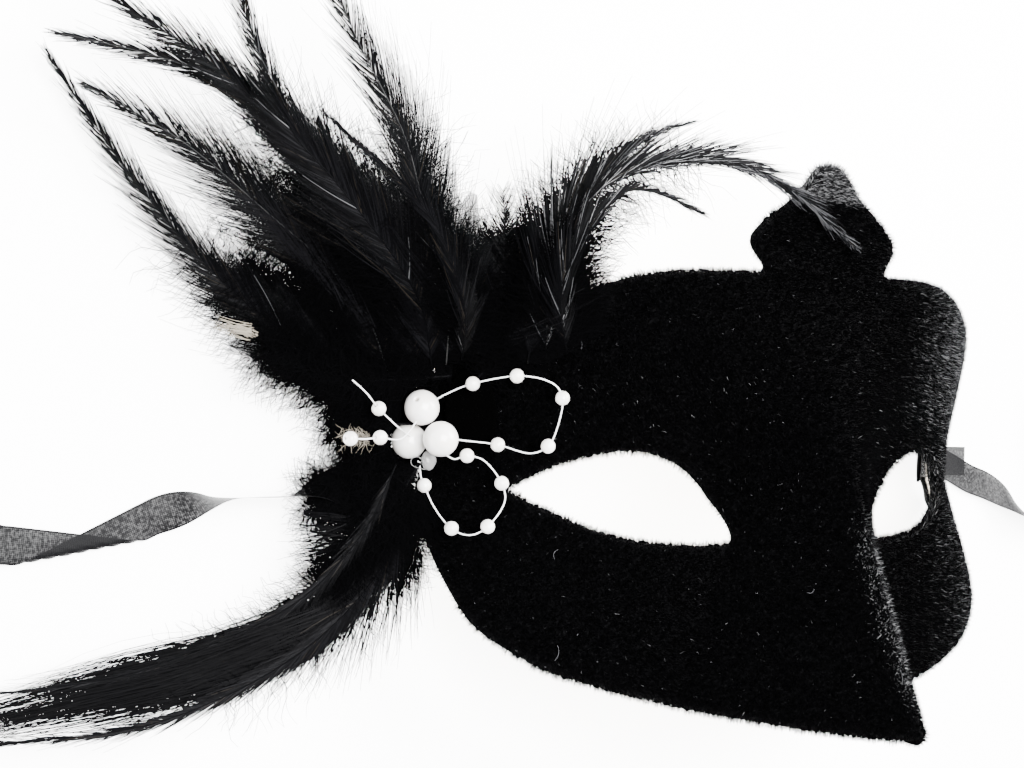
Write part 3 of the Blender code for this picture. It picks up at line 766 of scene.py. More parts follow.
class Shaft:
    """A feather's shaft with the directions that its web lies in."""

    def __init__(self, points):
        self.points = resample(smooth_route(points, 12), 1.0)
        self.run = directions(self.points)
        self.side = unit(np.cross(self.run, TOWARDS_EYE))
        self.face = np.cross(self.side, self.run)
        self.length = len(self.points) - 1.0

    def axes(self, share):
        """Along the shaft, across the web and out of it, at shares of the shaft's length."""
        return (unit(read_rows(rows, share)) for rows in (self.run, self.side, self.face))

    def barbs(self, share, side, angle, reach, bend, droop, steps):
        """Barb paths that leave the shaft at the given shares of its length, on one side of it."""
        root = read_rows(self.points, share)
        run, across, face = self.axes(share)
        paths = [root]
        for k in range(steps):
            s = (k + 0.5) / steps
            a = angle * (1 - bend * s)
            step = (run * np.cos(a)[:, None] + across * (side * np.sin(a))[:, None]
                    - face * (droop * 2 * s)[:, None]) * (reach / steps)[:, None]
            paths.append(paths[-1] + step)
        return np.stack(paths, axis=1)


def web_reach(share, full):
    """How long the barbs are along a shaft: short at the quill, full, then down to the tip."""
    rise = ease(0.0, 0.18, share)
    return full * (0.35 + 0.65 * rise) * (1 - share) ** 0.7 * 1.2 + 1.6


BLACK, SMOKE, BROWN, QUILL, DOWN, GLOSSY_PAINTED_HIGHLIGHT, CREAM = range(7)


def feather_materials():
    return [
        plain("barb_black", (0.0006, 0.0006, 0.0008), 0.5, Specular_IOR_Level=0.02),
        plain("barb_smoke", (0.0020, 0.0020, 0.0025), 0.45, Specular_IOR_Level=0.04),
        plain("barb_brown", (0.008, 0.0065, 0.005), 0.5, Specular_IOR_Level=0.05),
        plain("quill", (0.014, 0.014, 0.014), 0.4, Specular_IOR_Level=0.15),
        plain("down", (0.0005, 0.0005, 0.0006), 0.9, Specular_IOR_Level=0.01),
        # Glossier barbs with their base painted lighter grey: a painted highlight.
        plain("barb_gloss_painted_highlight", (0.040, 0.040, 0.043), 0.3, Specular_IOR_Level=0.4),
        plain("down_cream", (0.16, 0.14, 0.11), 0.8),
    ]


BARB_STEPS = 6                 # straight stretches in each barb


def add_feather(number, name, points, mats, vane_mat, full, angle, density=5.0, vane=0.72, fluff=1.0,
                gloss=0.006, wide=0.18, quill=(0.20, BLACK), more=()):
    """A feather: its shaft, hundreds of barbs that split into groups, its sheer web and its down.

    full is how far the web reaches to a side, and angle is how far the barbs lean off the shaft, at
    the quill and at the tip.  density is barbs to a millimetre, gloss is the share of barbs in the
    glossy finish painted lighter grey as a painted highlight, wide is for the barbs, vane and fluff are
    how much web and down there is, and more holds loose hairs."""
    draw = np.random.default_rng(100 + number)
    shaft = Shaft(points)
    count = int(shaft.length * density)
    thick, slot = quill
    radii = np.interp(np.linspace(0, 1, len(shaft.points)), [0, 0.3, 1], [thick, thick * 0.8, 0.06])
    stem = tube(name + "_quill", shaft.points, radii, mats, 5)
    for polygon in stem.data.polygons:
        polygon.material_index = slot
    parts = [stem]
    for side in (1, -1):
        share = np.sort(np.clip(np.linspace(0.03, 0.995, count) + draw.normal(0, 0.004, count), 0.02, 0.998))
        groups = np.cumsum(draw.random(count) < 0.06)
        offset = draw.normal(0, 0.06, groups.max() + 1)[groups]
        lean = np.radians(angle[0] + (angle[1] - angle[0]) * share ** 0.7)
        a = lean + offset + draw.normal(0, 0.05, count)
        reach = web_reach(share, full) * draw.uniform(0.45, 1.08, count)
        loose = draw.random(count) < 0.22
        reach = np.where(loose, reach * draw.uniform(1.1, 1.6, count), reach)
        droop = draw.normal(0.03, 0.05, count)
        paths = shaft.barbs(share, side, a, reach, 0.42, droop, BARB_STEPS)
        taper = (1 - np.linspace(0, 1, BARB_STEPS + 1)) ** 1.2
        broad = wide * (1 - share) * np.where(loose, 0.3, 1.0)
        width = (0.06 + broad[:, None]) * taper[None, :] + 0.065
        tint = np.where(draw.random(count) < 0.15 + 0.4 * share, SMOKE, BLACK)
        tint = np.where(draw.random(count) < 0.03, BROWN, tint)
        # A share of barbs, larger towards the tip, get the painted highlight finish.
        tint = np.where(draw.random(count) < gloss * (0.4 + share), GLOSSY_PAINTED_HIGHLIGHT, tint)
        parts.append(hairs(f"{name}_barbs_{side}", paths, width, mats, tint))
    parts.append(shaft_down(name, shaft, full, fluff, mats, draw))
    for k, (roots, tips, strands, slot, thick) in enumerate(more):
        parts.append(hair_fan(f"{name}_fan_{k}", roots, tips, strands, slot, thick, mats, draw))
    settle(join(name + "_barbs", parts), "feather", name)
    settle(vane_mesh(name, shaft, full, angle, vane, vane_mat, draw), "feather")


def hair_fan(name, roots, tips, count, slot, thick, mats, draw):
    """Long loose hairs from a line of roots to a line of tips."""
    share = np.sort(draw.random(count))
    root, tip = (read_rows(resample(smooth_route(line, 8), 0.5), share) for line in (roots, tips))
    start = root + draw.normal(0, 0.9, (count, 3))
    reach = draw.uniform(0.35, 1.0, count) ** 0.6
    end = start + (tip + draw.normal(0, 1.6, (count, 3)) * (1, 1, 0.3) - start) * reach[:, None]
    s = np.linspace(0, 1, HAIR_STEPS)
    bow = draw.normal(0, 0.03, (count, 3)) * np.linalg.norm(end - start, axis=1)[:, None]
    straight = start[:, None] + (end - start)[:, None] * s[None, :, None]
    paths = straight + bow[:, None] * (s * (1 - s) * 4)[None, :, None]
    widths = thick * (1 - 0.72 * s)[None, :] * draw.uniform(0.5, 1.2, count)[:, None]
    return hairs(name, paths, widths, mats, np.full(count, slot))


def shaft_down(name, shaft, full, amount, mats, draw):
    """Soft down on the lower part of a shaft, mostly behind it."""
    count = int(1500 * amount)
    share = draw.beta(1.1, 2.4, count) * 0.60
    side = np.where(draw.random(count) < 0.5, 1.0, -1.0)
    a = np.radians(draw.uniform(30, 80, count))
    reach = np.minimum(full, 17) * draw.uniform(0.4, 1.0, count)
    root = read_rows(shaft.points, share)
    run, across, face = shaft.axes(share)
    sunk = draw.uniform(0.05, 0.3, count)[:, None]
    way = run * np.cos(a)[:, None] + across * (side * np.sin(a))[:, None] - face * sunk
    return soft_strands(f"{name}_down", root - face * 0.5, unit(way), face, reach, mats, draw)


def soft_strands(name, root, way, face, reach, mats, draw, slot=DOWN, wide=0.20, wave=0.16):
    """Wavy soft strands from their roots, kept off the pearls and their line."""
    count = len(root)
    s = np.linspace(0, 1, HAIR_STEPS)
    side = unit(np.cross(way, face))
    phase = draw.uniform(0, 2 * pi, (count, 2))
    turns = draw.uniform(0.8, 2.4, (count, 2)) * 2 * pi
    swing = np.sin(s[None, :] * turns[:, :1] + phase[:, :1]) - np.sin(phase[:, :1])
    lift = np.sin(s[None, :] * turns[:, 1:] + phase[:, 1:]) - np.sin(phase[:, 1:])
    size = (reach * wave * 0.5)[:, None]
    drift = draw.normal(0, 0.03, count)[:, None] * reach[:, None] * s[None, :]
    paths = (root[:, None] + way[:, None] * (s[None, :] * reach[:, None])[..., None]
             + side[:, None] * (swing * size)[..., None] + face[:, None] * (lift * size * 0.5)[..., None]
             + face[:, None] * drift[..., None])
    widths = wide * (1 - 0.70 * s)[None, :] * draw.uniform(0.7, 1.3, count)[:, None]
    keep = clear_of_spray(paths)
    return hairs(name, paths[keep], widths[keep], mats, np.full(int(keep.sum()), slot))


def clear_of_spray(paths):
    """True for the strands that don't lie in front of a pearl, a bead or the white line."""
    facing = unit(TOWARDS_EYE)
    keep = np.ones(len(paths), dtype=bool)
    for centre, radius in spray_balls():
        apart = paths - np.array(centre)
        ahead = apart @ facing
        aside = np.linalg.norm(apart - ahead[..., None] * facing, axis=2)
        keep &= ~np.any((aside < radius) & (ahead > -radius), axis=1)
    return keep


WEB_STEP = 1.6
WEB_PANES = 4                  # panes from the shaft to the edge of the web


def vane_mesh(name, shaft, full, angle, extent, material, draw):
    """The sheer web between the barbs, as a thin skin each side of the shaft."""
    rows = int(shaft.length / WEB_STEP)
    share = np.linspace(0.04, 0.97, rows)
    ragged = 1 + 0.16 * np.sin(share * 90 + draw.uniform(0, 6)) * draw.uniform(0.2, 1, rows)
    points, faces, coords, start = [], [], [], 0
    for side in (1, -1):
        a = np.radians(angle[0] + (angle[1] - angle[0]) * share ** 0.8)
        reach = web_reach(share, full) * extent * ragged
        paths = shaft.barbs(share, side, a, reach, 0.38, np.full(rows, 0.06), WEB_PANES)
        paths = paths - unit(read_rows(shaft.face, share))[:, None] * 0.12
        points.append(paths.reshape(-1, 3))
        across = WEB_PANES + 1
        for i in range(rows - 1):
            for k in range(WEB_PANES):
                corner = start + i * across + k
                faces.append((corner, corner + 1, corner + across + 1, corner + across))
        coords += [(t, k / WEB_PANES) for t in share for k in range(across)]
        start += rows * across
    points = np.concatenate(points)
    points[:, 2] = np.maximum(points[:, 2], 0.1)
    web = mesh_object(name + "_web", points, np.array(faces), [material])
    map_points(web, "vane", coords)
    return web


# Loose hairs that belong to one feather: roots, tips, how many, which finish and how thick.
TAIL_FAN = ([(-116, -31, 8), (-110, -28, 9), (-102, -25, 9), (-95, -20, 9), (-90, -15, 9)],
            [(-127, -46, 3), (-118, -48, 3), (-110, -48, 3), (-101, -45, 3), (-92, -39, 4), (-85, -33, 5)],
            150, BLACK, 0.22)
TAIL_BEND = ([(-97, -18, 9), (-103, -20, 9), (-108, -20, 9)],
             [(-138, -33, 7), (-136, -38, 7), (-130, -43, 7)],
             600, BLACK, 0.26)
TAIL_MIDDLE = ([(-112, -25, 9), (-115, -31, 9), (-117, -36, 9)],
               [(-170, -41, 7), (-171, -45, 7), (-168, -49, 7)],
               800, BLACK, 0.26)
TAIL_END = ([(-134, -33, 8), (-138, -38, 8), (-135, -43, 8)],
            [(-206, -45.5, 6), (-207, -47.5, 6), (-205, -50, 6)],
            420, BLACK, 0.24)
TAIL_UPPER = ([(-130, -31, 8), (-138, -33, 8)], [(-190, -41, 6), (-200, -43, 6)], 110, BLACK, 0.18)
TAIL_SPIKES = ([(-112, -20, 7), (-118, -25, 6)], [(-130, -25, 4), (-131, -31, 4)], 40, BLACK, 0.26)
SIDE_SPIKES = ([(-108, -8, 8), (-112, -16, 7)], [(-124, -6, 6), (-122, -17, 5)], 80, BLACK, 0.36)
CREAM_TIP = ([(-134, 33, 8), (-135, 34, 8)], [(-146, 35, 8), (-144, 36, 8)], 26, CREAM, 0.3)
PLUME_HAIR = ([(-104, 42, 15), (-116, 56, 18), (-128, 68, 19)],
              [(-137, 84, 20), (-152, 96, 20), (-168, 100, 18)],
              300, SMOKE, 0.15)
PLUME_HAIR_LOW = ([(-102, 34, 9), (-112, 42, 9), (-124, 50, 10)],
                  [(-134, 74, 12), (-152, 84, 12), (-168, 86, 12)],
                  420, SMOKE, 0.16)
PLUME_HAIR_TOP = ([(-96, 42, 24), (-104, 58, 28), (-110, 72, 30)],
                  [(-104, 84, 30), (-118, 104, 32), (-130, 108, 32)],
                  200, SMOKE, 0.14)

# Each feather's shaft, from the binding to the tip, with how broad it is and how it is built.
PLUMES = [
    ("plume_feather_1", [(-97.5, 18.5, 5), (-116, 27, 6), (-142, 45, 6), (-164, 66, 6), (-184, 90, 6)],
     dict(full=18.0, angle=(38, 12), vane=0.9, more=[CREAM_TIP])),
    ("plume_feather_2", [(-97, 21.5, 7.5), (-106, 38, 10), (-118, 49, 11), (-133, 59, 11.5), (-155, 73, 12),
                         (-179, 83, 12.5)],
     dict(full=26.0, angle=(38, 13), vane=0.9, quill=(0.17, QUILL), more=[PLUME_HAIR_LOW])),
    ("plume_feather_3", [(-95.5, 24, 9.5), (-100, 42, 13.5), (-111, 58, 15), (-132, 78, 16), (-157, 88, 17),
                         (-188, 92, 17)], dict(full=22.0, angle=(38, 9), quill=(0.17, QUILL))),
    ("plume_feather_4", [(-93, 25.5, 11.5), (-102, 42, 17), (-118, 60, 18.5), (-130, 72, 19.5),
                         (-150, 87, 20), (-175, 99, 20), (-188, 106, 20)],
     dict(full=22.0, angle=(36, 12), more=[PLUME_HAIR])),
    ("plume_feather_5", [(-90.5, 26.5, 13.5), (-98, 39, 20), (-108, 50, 23.5), (-125, 65, 26),
                         (-138, 76, 27), (-147, 92, 28), (-156, 112, 28)],
     dict(full=22.0, angle=(34, 14), vane=0.85)),
    ("plume_feather_6", [(-88, 27.5, 15.5), (-94, 40, 24), (-101, 52, 28), (-106, 63, 30), (-112, 77, 31),
                         (-124, 94, 32), (-137, 114, 33)],
     dict(full=24.0, angle=(36, 18), vane=0.85, wide=0.12, density=4.0, quill=(0.16, QUILL),
          more=[PLUME_HAIR_TOP])),
    ("plume_feather_7", [(-85.5, 28.5, 18), (-92, 37, 28), (-98, 45, 33), (-105, 55, 36), (-113, 62, 38),
                         (-122, 68, 39), (-137, 78, 39)], dict(full=10.0, angle=(26, 8))),
    ("plume_feather_8", [(-82.5, 29.5, 20.5), (-84, 41, 31), (-86, 55, 34), (-87, 66, 34)],
     dict(full=17.0, angle=(56, 30), fluff=2.4, vane=0.4)),
    ("side_feather_1", [(-76, 28, 30), (-79, 42, 36.5), (-79, 55, 40), (-70, 69, 42), (-55, 79, 44),
                        (-41, 84, 45)],
     dict(full=13.0, angle=(26, 9), vane=0.4, fluff=1.2, gloss=0.10)),
    ("side_feather_2", [(-72.5, 29.5, 32), (-79, 43, 40.5), (-79, 59, 45.5), (-68, 70, 49), (-48, 75, 52.5),
                        (-31, 74, 53), (-15, 68, 54), (-5, 62, 54), (3, 57, 55)],
     dict(full=21.0, angle=(24, 8), density=7.0, vane=0.4, fluff=1.2, gloss=0.22, wide=0.24)),
    ("side_feather_3", [(-69, 31, 35), (-78, 43, 44), (-78, 55, 50), (-70, 65, 53), (-60, 66, 54.5),
                        (-46, 62, 55)],
     dict(full=13.0, angle=(26, 8), vane=0.4, fluff=1.2, gloss=0.08)),
    ("tail_feather_1", [(-96, 4.5, 6.5), (-101, -8, 6), (-108, -19, 5.2), (-120, -29, 4.8), (-141, -38, 4.5),
                        (-170, -44, 4), (-207, -47, 4)],
     dict(full=14.0, angle=(15, 4), vane=0.8, fluff=0.5, gloss=0,
          more=[TAIL_MIDDLE, TAIL_END, TAIL_UPPER, TAIL_SPIKES])),
    ("tail_feather_2", [(-98.5, 5, 11.5), (-107, -10, 11.5), (-122, -24, 10.5), (-142, -32.5, 9.5),
                        (-168, -39, 9), (-208, -41, 8.5)],
     dict(full=7.0, angle=(14, 4), vane=0.6, fluff=0.3, gloss=0, more=[SIDE_SPIKES])),
    ("tail_feather_3", [(-92.5, 0, 7), (-98, -14, 10), (-112, -28, 12), (-130, -39, 12.5), (-152, -47, 12),
                        (-172, -50, 11.5), (-205, -50, 11)],
     dict(full=14.0, angle=(18, 4), vane=0.7, fluff=0.4, gloss=0, more=[TAIL_FAN, TAIL_BEND])),
]


def add_plume():
    mats = feather_materials()
    vane_mat = vane_finish()
    for number, (name, points, look) in enumerate(PLUMES):
        add_feather(number, name, points, mats=mats, vane_mat=vane_mat, **look)
    return mats


# Each tuft's stems, how far its strands reach and how many there are.
TUFTS = [
    ("marabou_tuft_upper", [[(-86, 25, 15), (-97, 24, 10), (-112, 24, 8), (-130, 30, 8)],
                            [(-88, 28, 14), (-96, 34, 13), (-108, 44, 11), (-122, 50, 10)],
                            [(-90, 14, 10), (-99, 14, 8), (-108, 15, 5)],
                            [(-84, 27, 4), (-92, 26, 3), (-102, 26, 3)],
                            [(-86, 20, 2), (-94, 16, 2), (-102, 12, 2)],
                            [(-84, 12, 2), (-94, 8, 2), (-102, 8, 2)],
                            [(-108, 30, 6), (-122, 38, 6), (-136, 44, 6)]], 13.0, 15000),
    ("marabou_tuft_side", [[(-84, 22, 18), (-80, 30, 24), (-78, 42, 30), (-76, 54, 34)],
                           [(-84, 30, 22), (-85, 40, 28), (-84, 52, 33)]], 12.0, 6500),
    ("marabou_tuft_lower", [[(-91, 5, 10), (-97, -2, 11), (-104, -10, 11), (-114, -20, 9)],
                            [(-90, 2, 9), (-94, -8, 9), (-98, -18, 8)],
                            [(-88, 7, 3), (-96, 6, 4), (-103, 5, 6)],
                            [(-100, 2, 7), (-106, -2, 6), (-114, -3, 5)]], 11.0, 9500),
]
CREAM_DOWN = [(-104, 10, 9), (-108, 11, 10), (-112, 11, 10)]


def add_tufts(mats):
    for number, (name, stems, reach, count) in enumerate(TUFTS):
        draw = np.random.default_rng(300 + number)
        parts = []
        for stem in stems:
            shaft = Shaft(stem)
            strands = count // len(stems)
            share = draw.random(strands)
            root = read_rows(shaft.points, share)
            run, across, face = shaft.axes(share)
            a = draw.uniform(0, 2 * pi, strands)
            lean = draw.uniform(0.1, 1.3, strands)[:, None]
            way = unit(run * lean * 0.8 + across * np.cos(a)[:, None]
                       + face * np.sin(a)[:, None] * 0.25 - face * 0.12)
            length = reach * draw.uniform(0.4, 1.1, strands)
            parts.append(soft_strands(name + "_strands", root, way, face, length, mats, draw, wave=0.22))
            taper = np.interp(np.linspace(0, 1, len(shaft.points)), [0, 1], [0.4, 0.12])
            parts.append(tube(name + "_stem", shaft.points, taper, mats, 5))
        if name == "marabou_tuft_upper":
            parts.append(cream_down(mats, draw))
        settle(join(name + "_down", parts), "down", name)


def cream_down(mats, draw):
    """A few pale strands of down by the outermost bead."""
    root = resample(smooth_route(CREAM_DOWN, 8), 0.06)
    root = root + draw.normal(0, 0.8, root.shape)
    way = unit(draw.normal(0, 1, root.shape) + (-0.8, 0, 0.2))
    face = np.tile(unit(TOWARDS_EYE), (len(root), 1))
    reach = draw.uniform(1.0, 3.2, len(root))
    return soft_strands("cream_down", root, way, face, reach, mats, draw, CREAM, wide=0.10, wave=0.04)


# ---- pearls, line and glue ----------------------------------------------------------------------
PEARL_R = 4.0
BEAD_R = 1.65
BEAD_HOLE_R = 0.5
LINE_R = 0.18
PEARL_HOLE_R = 0.55
PEARL_MESH = (26, 36)          # rings and sides of a ball
BEAD_MESH = (14, 20)
GLUE_CENTRE = (-88.6, 5.6, 10.2)
GLUE_HALF_SIZE = (1.9, 2.2, 1.6)
GLUE_STRING_R = 0.07
GLUE_STRING = [(-90, 3.6, 11), (-94, 4.6, 11.5), (-94.6, 6.2, 12), (-93, 6.6, 12.4), (-91, 5.2, 12.6)]

# The large pearls: name, centre and the way that the hole runs.
PEARLS = [("pearl_top", (-91.6, 17.7, 11.4), (-0.3, 0.2, 0.2)),
          ("pearl_outer", (-91.6, 10.0, 6.6), (0.1, 1, 0.3)),
          ("pearl_inner", (-89.4, 10.7, 15.8), (0.1, 1, 0.3))]

# The line's four runs, and then each run's piece, route, beaded points and two hidden ends.
UPPER_LOOP = [(-87.6, 20.8, 15), (-83.8, 23.3, 20), (-77, 25.2, 27.4), (-71, 24, 31.8),
              (-68.4, 20.4, 33.2), (-68.2, 14, 31.4), (-69.6, 9.5, 29.8), (-73, 7.8, 27.2),
              (-78.4, 9.6, 22.6), (-84.6, 10.4, 18.8)]
LOWER_LOOP = [(-86.4, 6.2, 17), (-84, 7, 18.6), (-80.4, 5.8, 20.6), (-77.4, 0.9, 23), (-77.2, -3.6, 23.8),
              (-81, -8.8, 22.8), (-84.2, -10.8, 20.4), (-87, -9.4, 17.2), (-89, -5, 13.4), (-90, 0, 10.6),
              (-90.4, 2, 9.8)]
UPPER_TAIL = [(-97.6, 13.2, 10.8), (-104.4, 17.4, 12.8), (-109.6, 20.8, 15.5), (-114.4, 23.6, 17)]
LOWER_TAIL = [(-98.5, 10.8, 13.6), (-105, 11, 14.4), (-109, 10.7, 14.8), (-113.5, 10.8, 15.2)]
LINES = [("beaded_line_upper_loop", UPPER_LOOP, (1, 2, 4, 6, 8), (-90.5, 18.5, 12.5), (-88.5, 10.9, 16.5)),
         ("beaded_line_lower_loop", LOWER_LOOP, (1, 3, 5, 7, 9), (-88.6, 7.6, 15.8), (-90.6, 5.4, 9.4)),
         ("beaded_line_upper_tail", UPPER_TAIL, (1,), (-92.5, 10.6, 9.6), None),
         ("beaded_line_lower_tail", LOWER_TAIL, (1, 3), (-92.5, 15.8, 12.0), None)]


def spray_balls():
    """Centre and clear radius of everything in the spray, the line taken as a row of small balls."""
    balls = [(centre, PEARL_R + 0.5) for _, centre, _ in PEARLS]
    for _, points, beads, start, end in LINES:
        knots = smooth_route(points, 4)
        balls += [(tuple(knots[4 * k]), BEAD_R + 0.5) for k in beads]
        route = [start, *points] if end is None else [start, *points, end]
        balls += [(tuple(p), 0.9) for p in resample(smooth_route(route, 6), 1.2)]
    return balls


def drilled_ball(name, centre, run, radius, hole, fineness, material):
    """A ball with a small drilled hole along run, as a turned shape."""
    rings, sides = fineness
    start = np.arcsin(hole / radius)
    angles = np.linspace(start, pi - start, rings)
    profile = [(hole * 0.9, radius * cos(start) - 0.5)]
    profile += [(radius * sin(a), radius * cos(a)) for a in angles]
    profile += [(hole * 0.9, -radius * cos(start) + 0.5)]
    run = unit(np.array(run, dtype=float))
    side = unit(np.cross(run, ASKEW))
    top = np.cross(side, run)
    turn = np.arange(sides) * 2 * pi / sides
    circle = side[None] * np.cos(turn)[:, None] + top[None] * np.sin(turn)[:, None]
    verts = np.concatenate([np.array(centre) + circle * r + run * h for r, h in profile])
    faces = []
    for i in range(len(profile)):
        j = (i + 1) % len(profile)
        for k in range(sides):
            n = (k + 1) % sides
            faces.append((i * sides + k, i * sides + n, j * sides + n, j * sides + k))
    ball = mesh_object(name, verts, faces, [material])
    face_outwards(ball)
    return ball


def add_spray():
    pearl, line, glue = pearl_finish(), line_finish(), glue_finish()
    for name, centre, run in PEARLS:
        ball = drilled_ball(name + "_bead", centre, run, PEARL_R, PEARL_HOLE_R, PEARL_MESH, pearl)
        settle(ball, "pearl", name)
    number = 0
    for name, points, beads, start, end in LINES:
        route = [start, *points] if end is None else [start, *points, end]
        path = resample(smooth_route(route, 10), 0.5)
        settle(tube(name + "_thread", path, np.full(len(path), LINE_R), [line], 8), "line", name)
        knots = smooth_route(points, 4)
        for k in beads:
            number += 1
            run = knots[min(4 * k + 1, len(knots) - 1)] - knots[4 * k - 1]
            node = f"small_pearl_{number:02d}"
            ball = drilled_ball(node + "_bead", knots[4 * k], run, BEAD_R, BEAD_HOLE_R, BEAD_MESH, pearl)
            settle(ball, "pearl", node)
    bpy.ops.mesh.primitive_uv_sphere_add(segments=40, ring_count=24, radius=1.0)
    drop = bpy.context.active_object
    drop.name = "glue_drop_blob"
    draw = np.random.default_rng(7)
    lumps = draw.normal(0, 1, (5, 3))
    for v in drop.data.vertices:
        swell = 1 + 0.10 * sum(sin(2.4 * v.co.dot(Vector(l)) + i) for i, l in enumerate(lumps)) / 2
        v.co = Vector([c * half for c, half in zip(v.co, GLUE_HALF_SIZE)]) * swell
    drop.data.transform(Matrix.Translation(GLUE_CENTRE))
    drop.data.transform(Matrix.Scale(MM, 4))
    drop.data.shade_smooth()
    drop.data.materials.append(glue)
    settle(drop, "glue", "glue_drop")
    loop = resample(smooth_route(GLUE_STRING, 10), 0.4)
    settle(tube("glue_string", loop, np.full(len(loop), GLUE_STRING_R), [glue], 6), "glue")


# ---- ribbons ------------------------------------------------------------------------------------
RIBBON_WIDTH = 8.0
WARP_PITCH = 0.40
WEFT_PITCH = 0.00045           # in metres, as the weave's map measures the ribbon's length
RIBBON_STEP = 0.9
RIBBON_COLUMNS = 9
RIBBON_LOWEST = 0.08
RIBBON_ON_EDGE = 4.3           # height of the ribbon's middle where it stands on its edge
GLUED_WITHIN = 85.0            # the ribbons are glued up where they are nearer the middle than this
RIPPLE = 0.18                  # how far the cloth waves out of its plane
ROLL_OUTER_R = 31.0
ROLL_STEP = 5.6
ROLL_POINTS = 24               # points to a turn
ROLL_CENTRES = {"right": (-234.0, 20.0), "left": (165.0, 14.0)}
ROLL_TURNS = {"right": 1.79, "left": 2.35}

# Each route's points, from the mask outwards, with how far the ribbon is turned there, in degrees.
GLUED_END = [((80.0, 4, 9.2), 0), ((81.6, 4, 6.0), 0), ((83.2, 4, 2.2), 0), ((85.5, 4, 0.6), 0)]
RIBBON_RIGHT = [((-90.1, 4, 0.6), 0), ((-93, 4, 0.6), 0), ((-100, 2.4, 0.7), 4), ((-108, -0.4, 1.8), 20),
                ((-118, -2.2, 4.3), 88), ((-128, -2.4, 4.3), 92), ((-138, -2.4, 4.2), 90),
                ((-143.5, -3.0, 3.8), 66), ((-149, -4.6, 2.4), 30)]
AFTER_FOLD = [((-197, -9.4, 1.6), 166), ((-205, -9.8, 3.2), 128), ((-213, -10.6, 4.3), 94),
              ((-222.4, -11, 4.3), 90)]
RIBBON_LEFT = [((90.1, 4, 0.6), 0), ((93, 4, 0.6), 0), ((98, 2.3, 0.8), 0), ((105.6, -0.9, 1.0), 0),
               ((113, -3.1, 1.2), -6), ((119.4, -6, 2.0), -22), ((124.7, -9.6, 3.4), -50),
               ((130, -12.4, 4.0), -72), ((138, -15, 4.3), -88), ((147, -16.8, 4.3), -90),
               ((153.4, -17, 4.3), -90)]
CUT_END = [((86.4, 4.0, 0.3), 0), ((96, 4.0, 0.25), 0), ((105.0, 3.9, 0.2), 0)]
FOLD_CENTRE = Vector((-167.5, -12.4))       # where the right ribbon turns over
FOLD_BEARING = 8.1                          # degrees that the fold's line drops, running to -X
FOLD_LEAN = 7.4                             # degrees more, for the stretch that is folded back
FOLD_R = 0.55
FOLD_REACH = 23.0                           # length laid flat past the fold


def roll_rows(side, turn):
    """The rolled-up length: a flat spiral that stands on the ribbon's edge."""
    x, y = ROLL_CENTRES[side]
    way = -1 if side == "right" else 1
    rows = []
    for k in range(int(ROLL_TURNS[side] * ROLL_POINTS) + 1):
        a = 2 * pi * k / ROLL_POINTS
        r = ROLL_OUTER_R - ROLL_STEP * a / (2 * pi)
        rows.append(((x + way * r * sin(a), y - r * cos(a), RIBBON_ON_EDGE), turn))
    return rows


def ribbon_strip(rows):
    """A grid of points for a ribbon: rows x columns x 3, from centre points with turn angles."""
    route = smooth_route([p for p, _ in rows], 10)
    twist = smooth_route([(t, 0, 0) for _, t in rows], 10)
    pairs = resample(np.array([(*p, t.x) for p, t in zip(route, twist)]), RIBBON_STEP)
    points, turn = pairs[:, :3].copy(), np.radians(pairs[:, 3])
    run = directions(points)
    level = unit(np.cross((0, 0, 1), run))
    upright = unit(np.cross(run, level))
    across = level * np.cos(turn)[:, None] + upright * np.sin(turn)[:, None]
    points[:, 2] = np.maximum(points[:, 2], np.abs(across[:, 2]) * RIBBON_WIDTH / 2 + 0.15)
    share = np.linspace(-0.5, 0.5, RIBBON_COLUMNS)
    return points[:, None] + across[:, None] * (share * RIBBON_WIDTH)[None, :, None]


def fold_over(grid):
    """Rolls whatever lies past the fold's line back over the rest, round a small radius."""
    bearing = radians(180 + FOLD_BEARING)
    along = np.array([cos(bearing), sin(bearing)])
    past = np.array([-along[1], along[0]])
    flat = grid[..., :2] - np.array(FOLD_CENTRE)
    s, d = flat @ along, flat @ past
    angle = np.clip(d / FOLD_R, 0, pi)
    over = np.where(d > pi * FOLD_R, -(d - pi * FOLD_R), np.where(d > 0, FOLD_R * np.sin(angle), d))
    folded = grid.copy()
    folded[..., :2] = np.array(FOLD_CENTRE) + s[..., None] * along + over[..., None] * past
    folded[..., 2] += FOLD_R * (1 - np.cos(angle))
    return folded


def right_ribbon_grid():
    """The right ribbon turns over once on the table; it is laid straight and then folded there."""
    turned = radians(180 + 2 * FOLD_BEARING + FOLD_LEAN)
    straight = Vector((cos(turned), sin(turned)))
    before = [(tuple(FOLD_CENTRE - straight * r) + (0.3,), 0) for r in (15, 10, 5)]
    beyond = [(tuple(FOLD_CENTRE + straight * r) + (0.3,), 0) for r in (0, 5, 10, FOLD_REACH)]
    end = [((-p[0], p[1], p[2]), t) for p, t in GLUED_END]
    first = fold_over(ribbon_strip(end + RIBBON_RIGHT + before + beyond))
    middle = len(first[0]) // 2
    leaving = [(tuple(first[k][middle]), 180) for k in (-3, -1)]
    second = ribbon_strip(leaving + AFTER_FOLD + roll_rows("right", 90))
    return np.concatenate([first[:-3], second])


def woven_strip(name, grid, lengths, mats):
    """A ribbon from a grid of points, with its weave laid out along it and its glued end apart."""
    count, columns = grid.shape[:2]
    corner = (np.arange(count - 1)[:, None] * columns + np.arange(columns - 1)[None, :]).ravel()
    faces = np.stack([corner, corner + 1, corner + columns + 1, corner + columns], axis=1)
    glued = np.abs(grid[corner // columns, 0, 0]) < GLUED_WITHIN
    strip = mesh_object(name, grid.reshape(-1, 3), faces, mats, True, glued)
    map_points(strip, "weave", [(s * MM, c) for s in lengths for c in np.linspace(0, 1, columns)])
    return strip


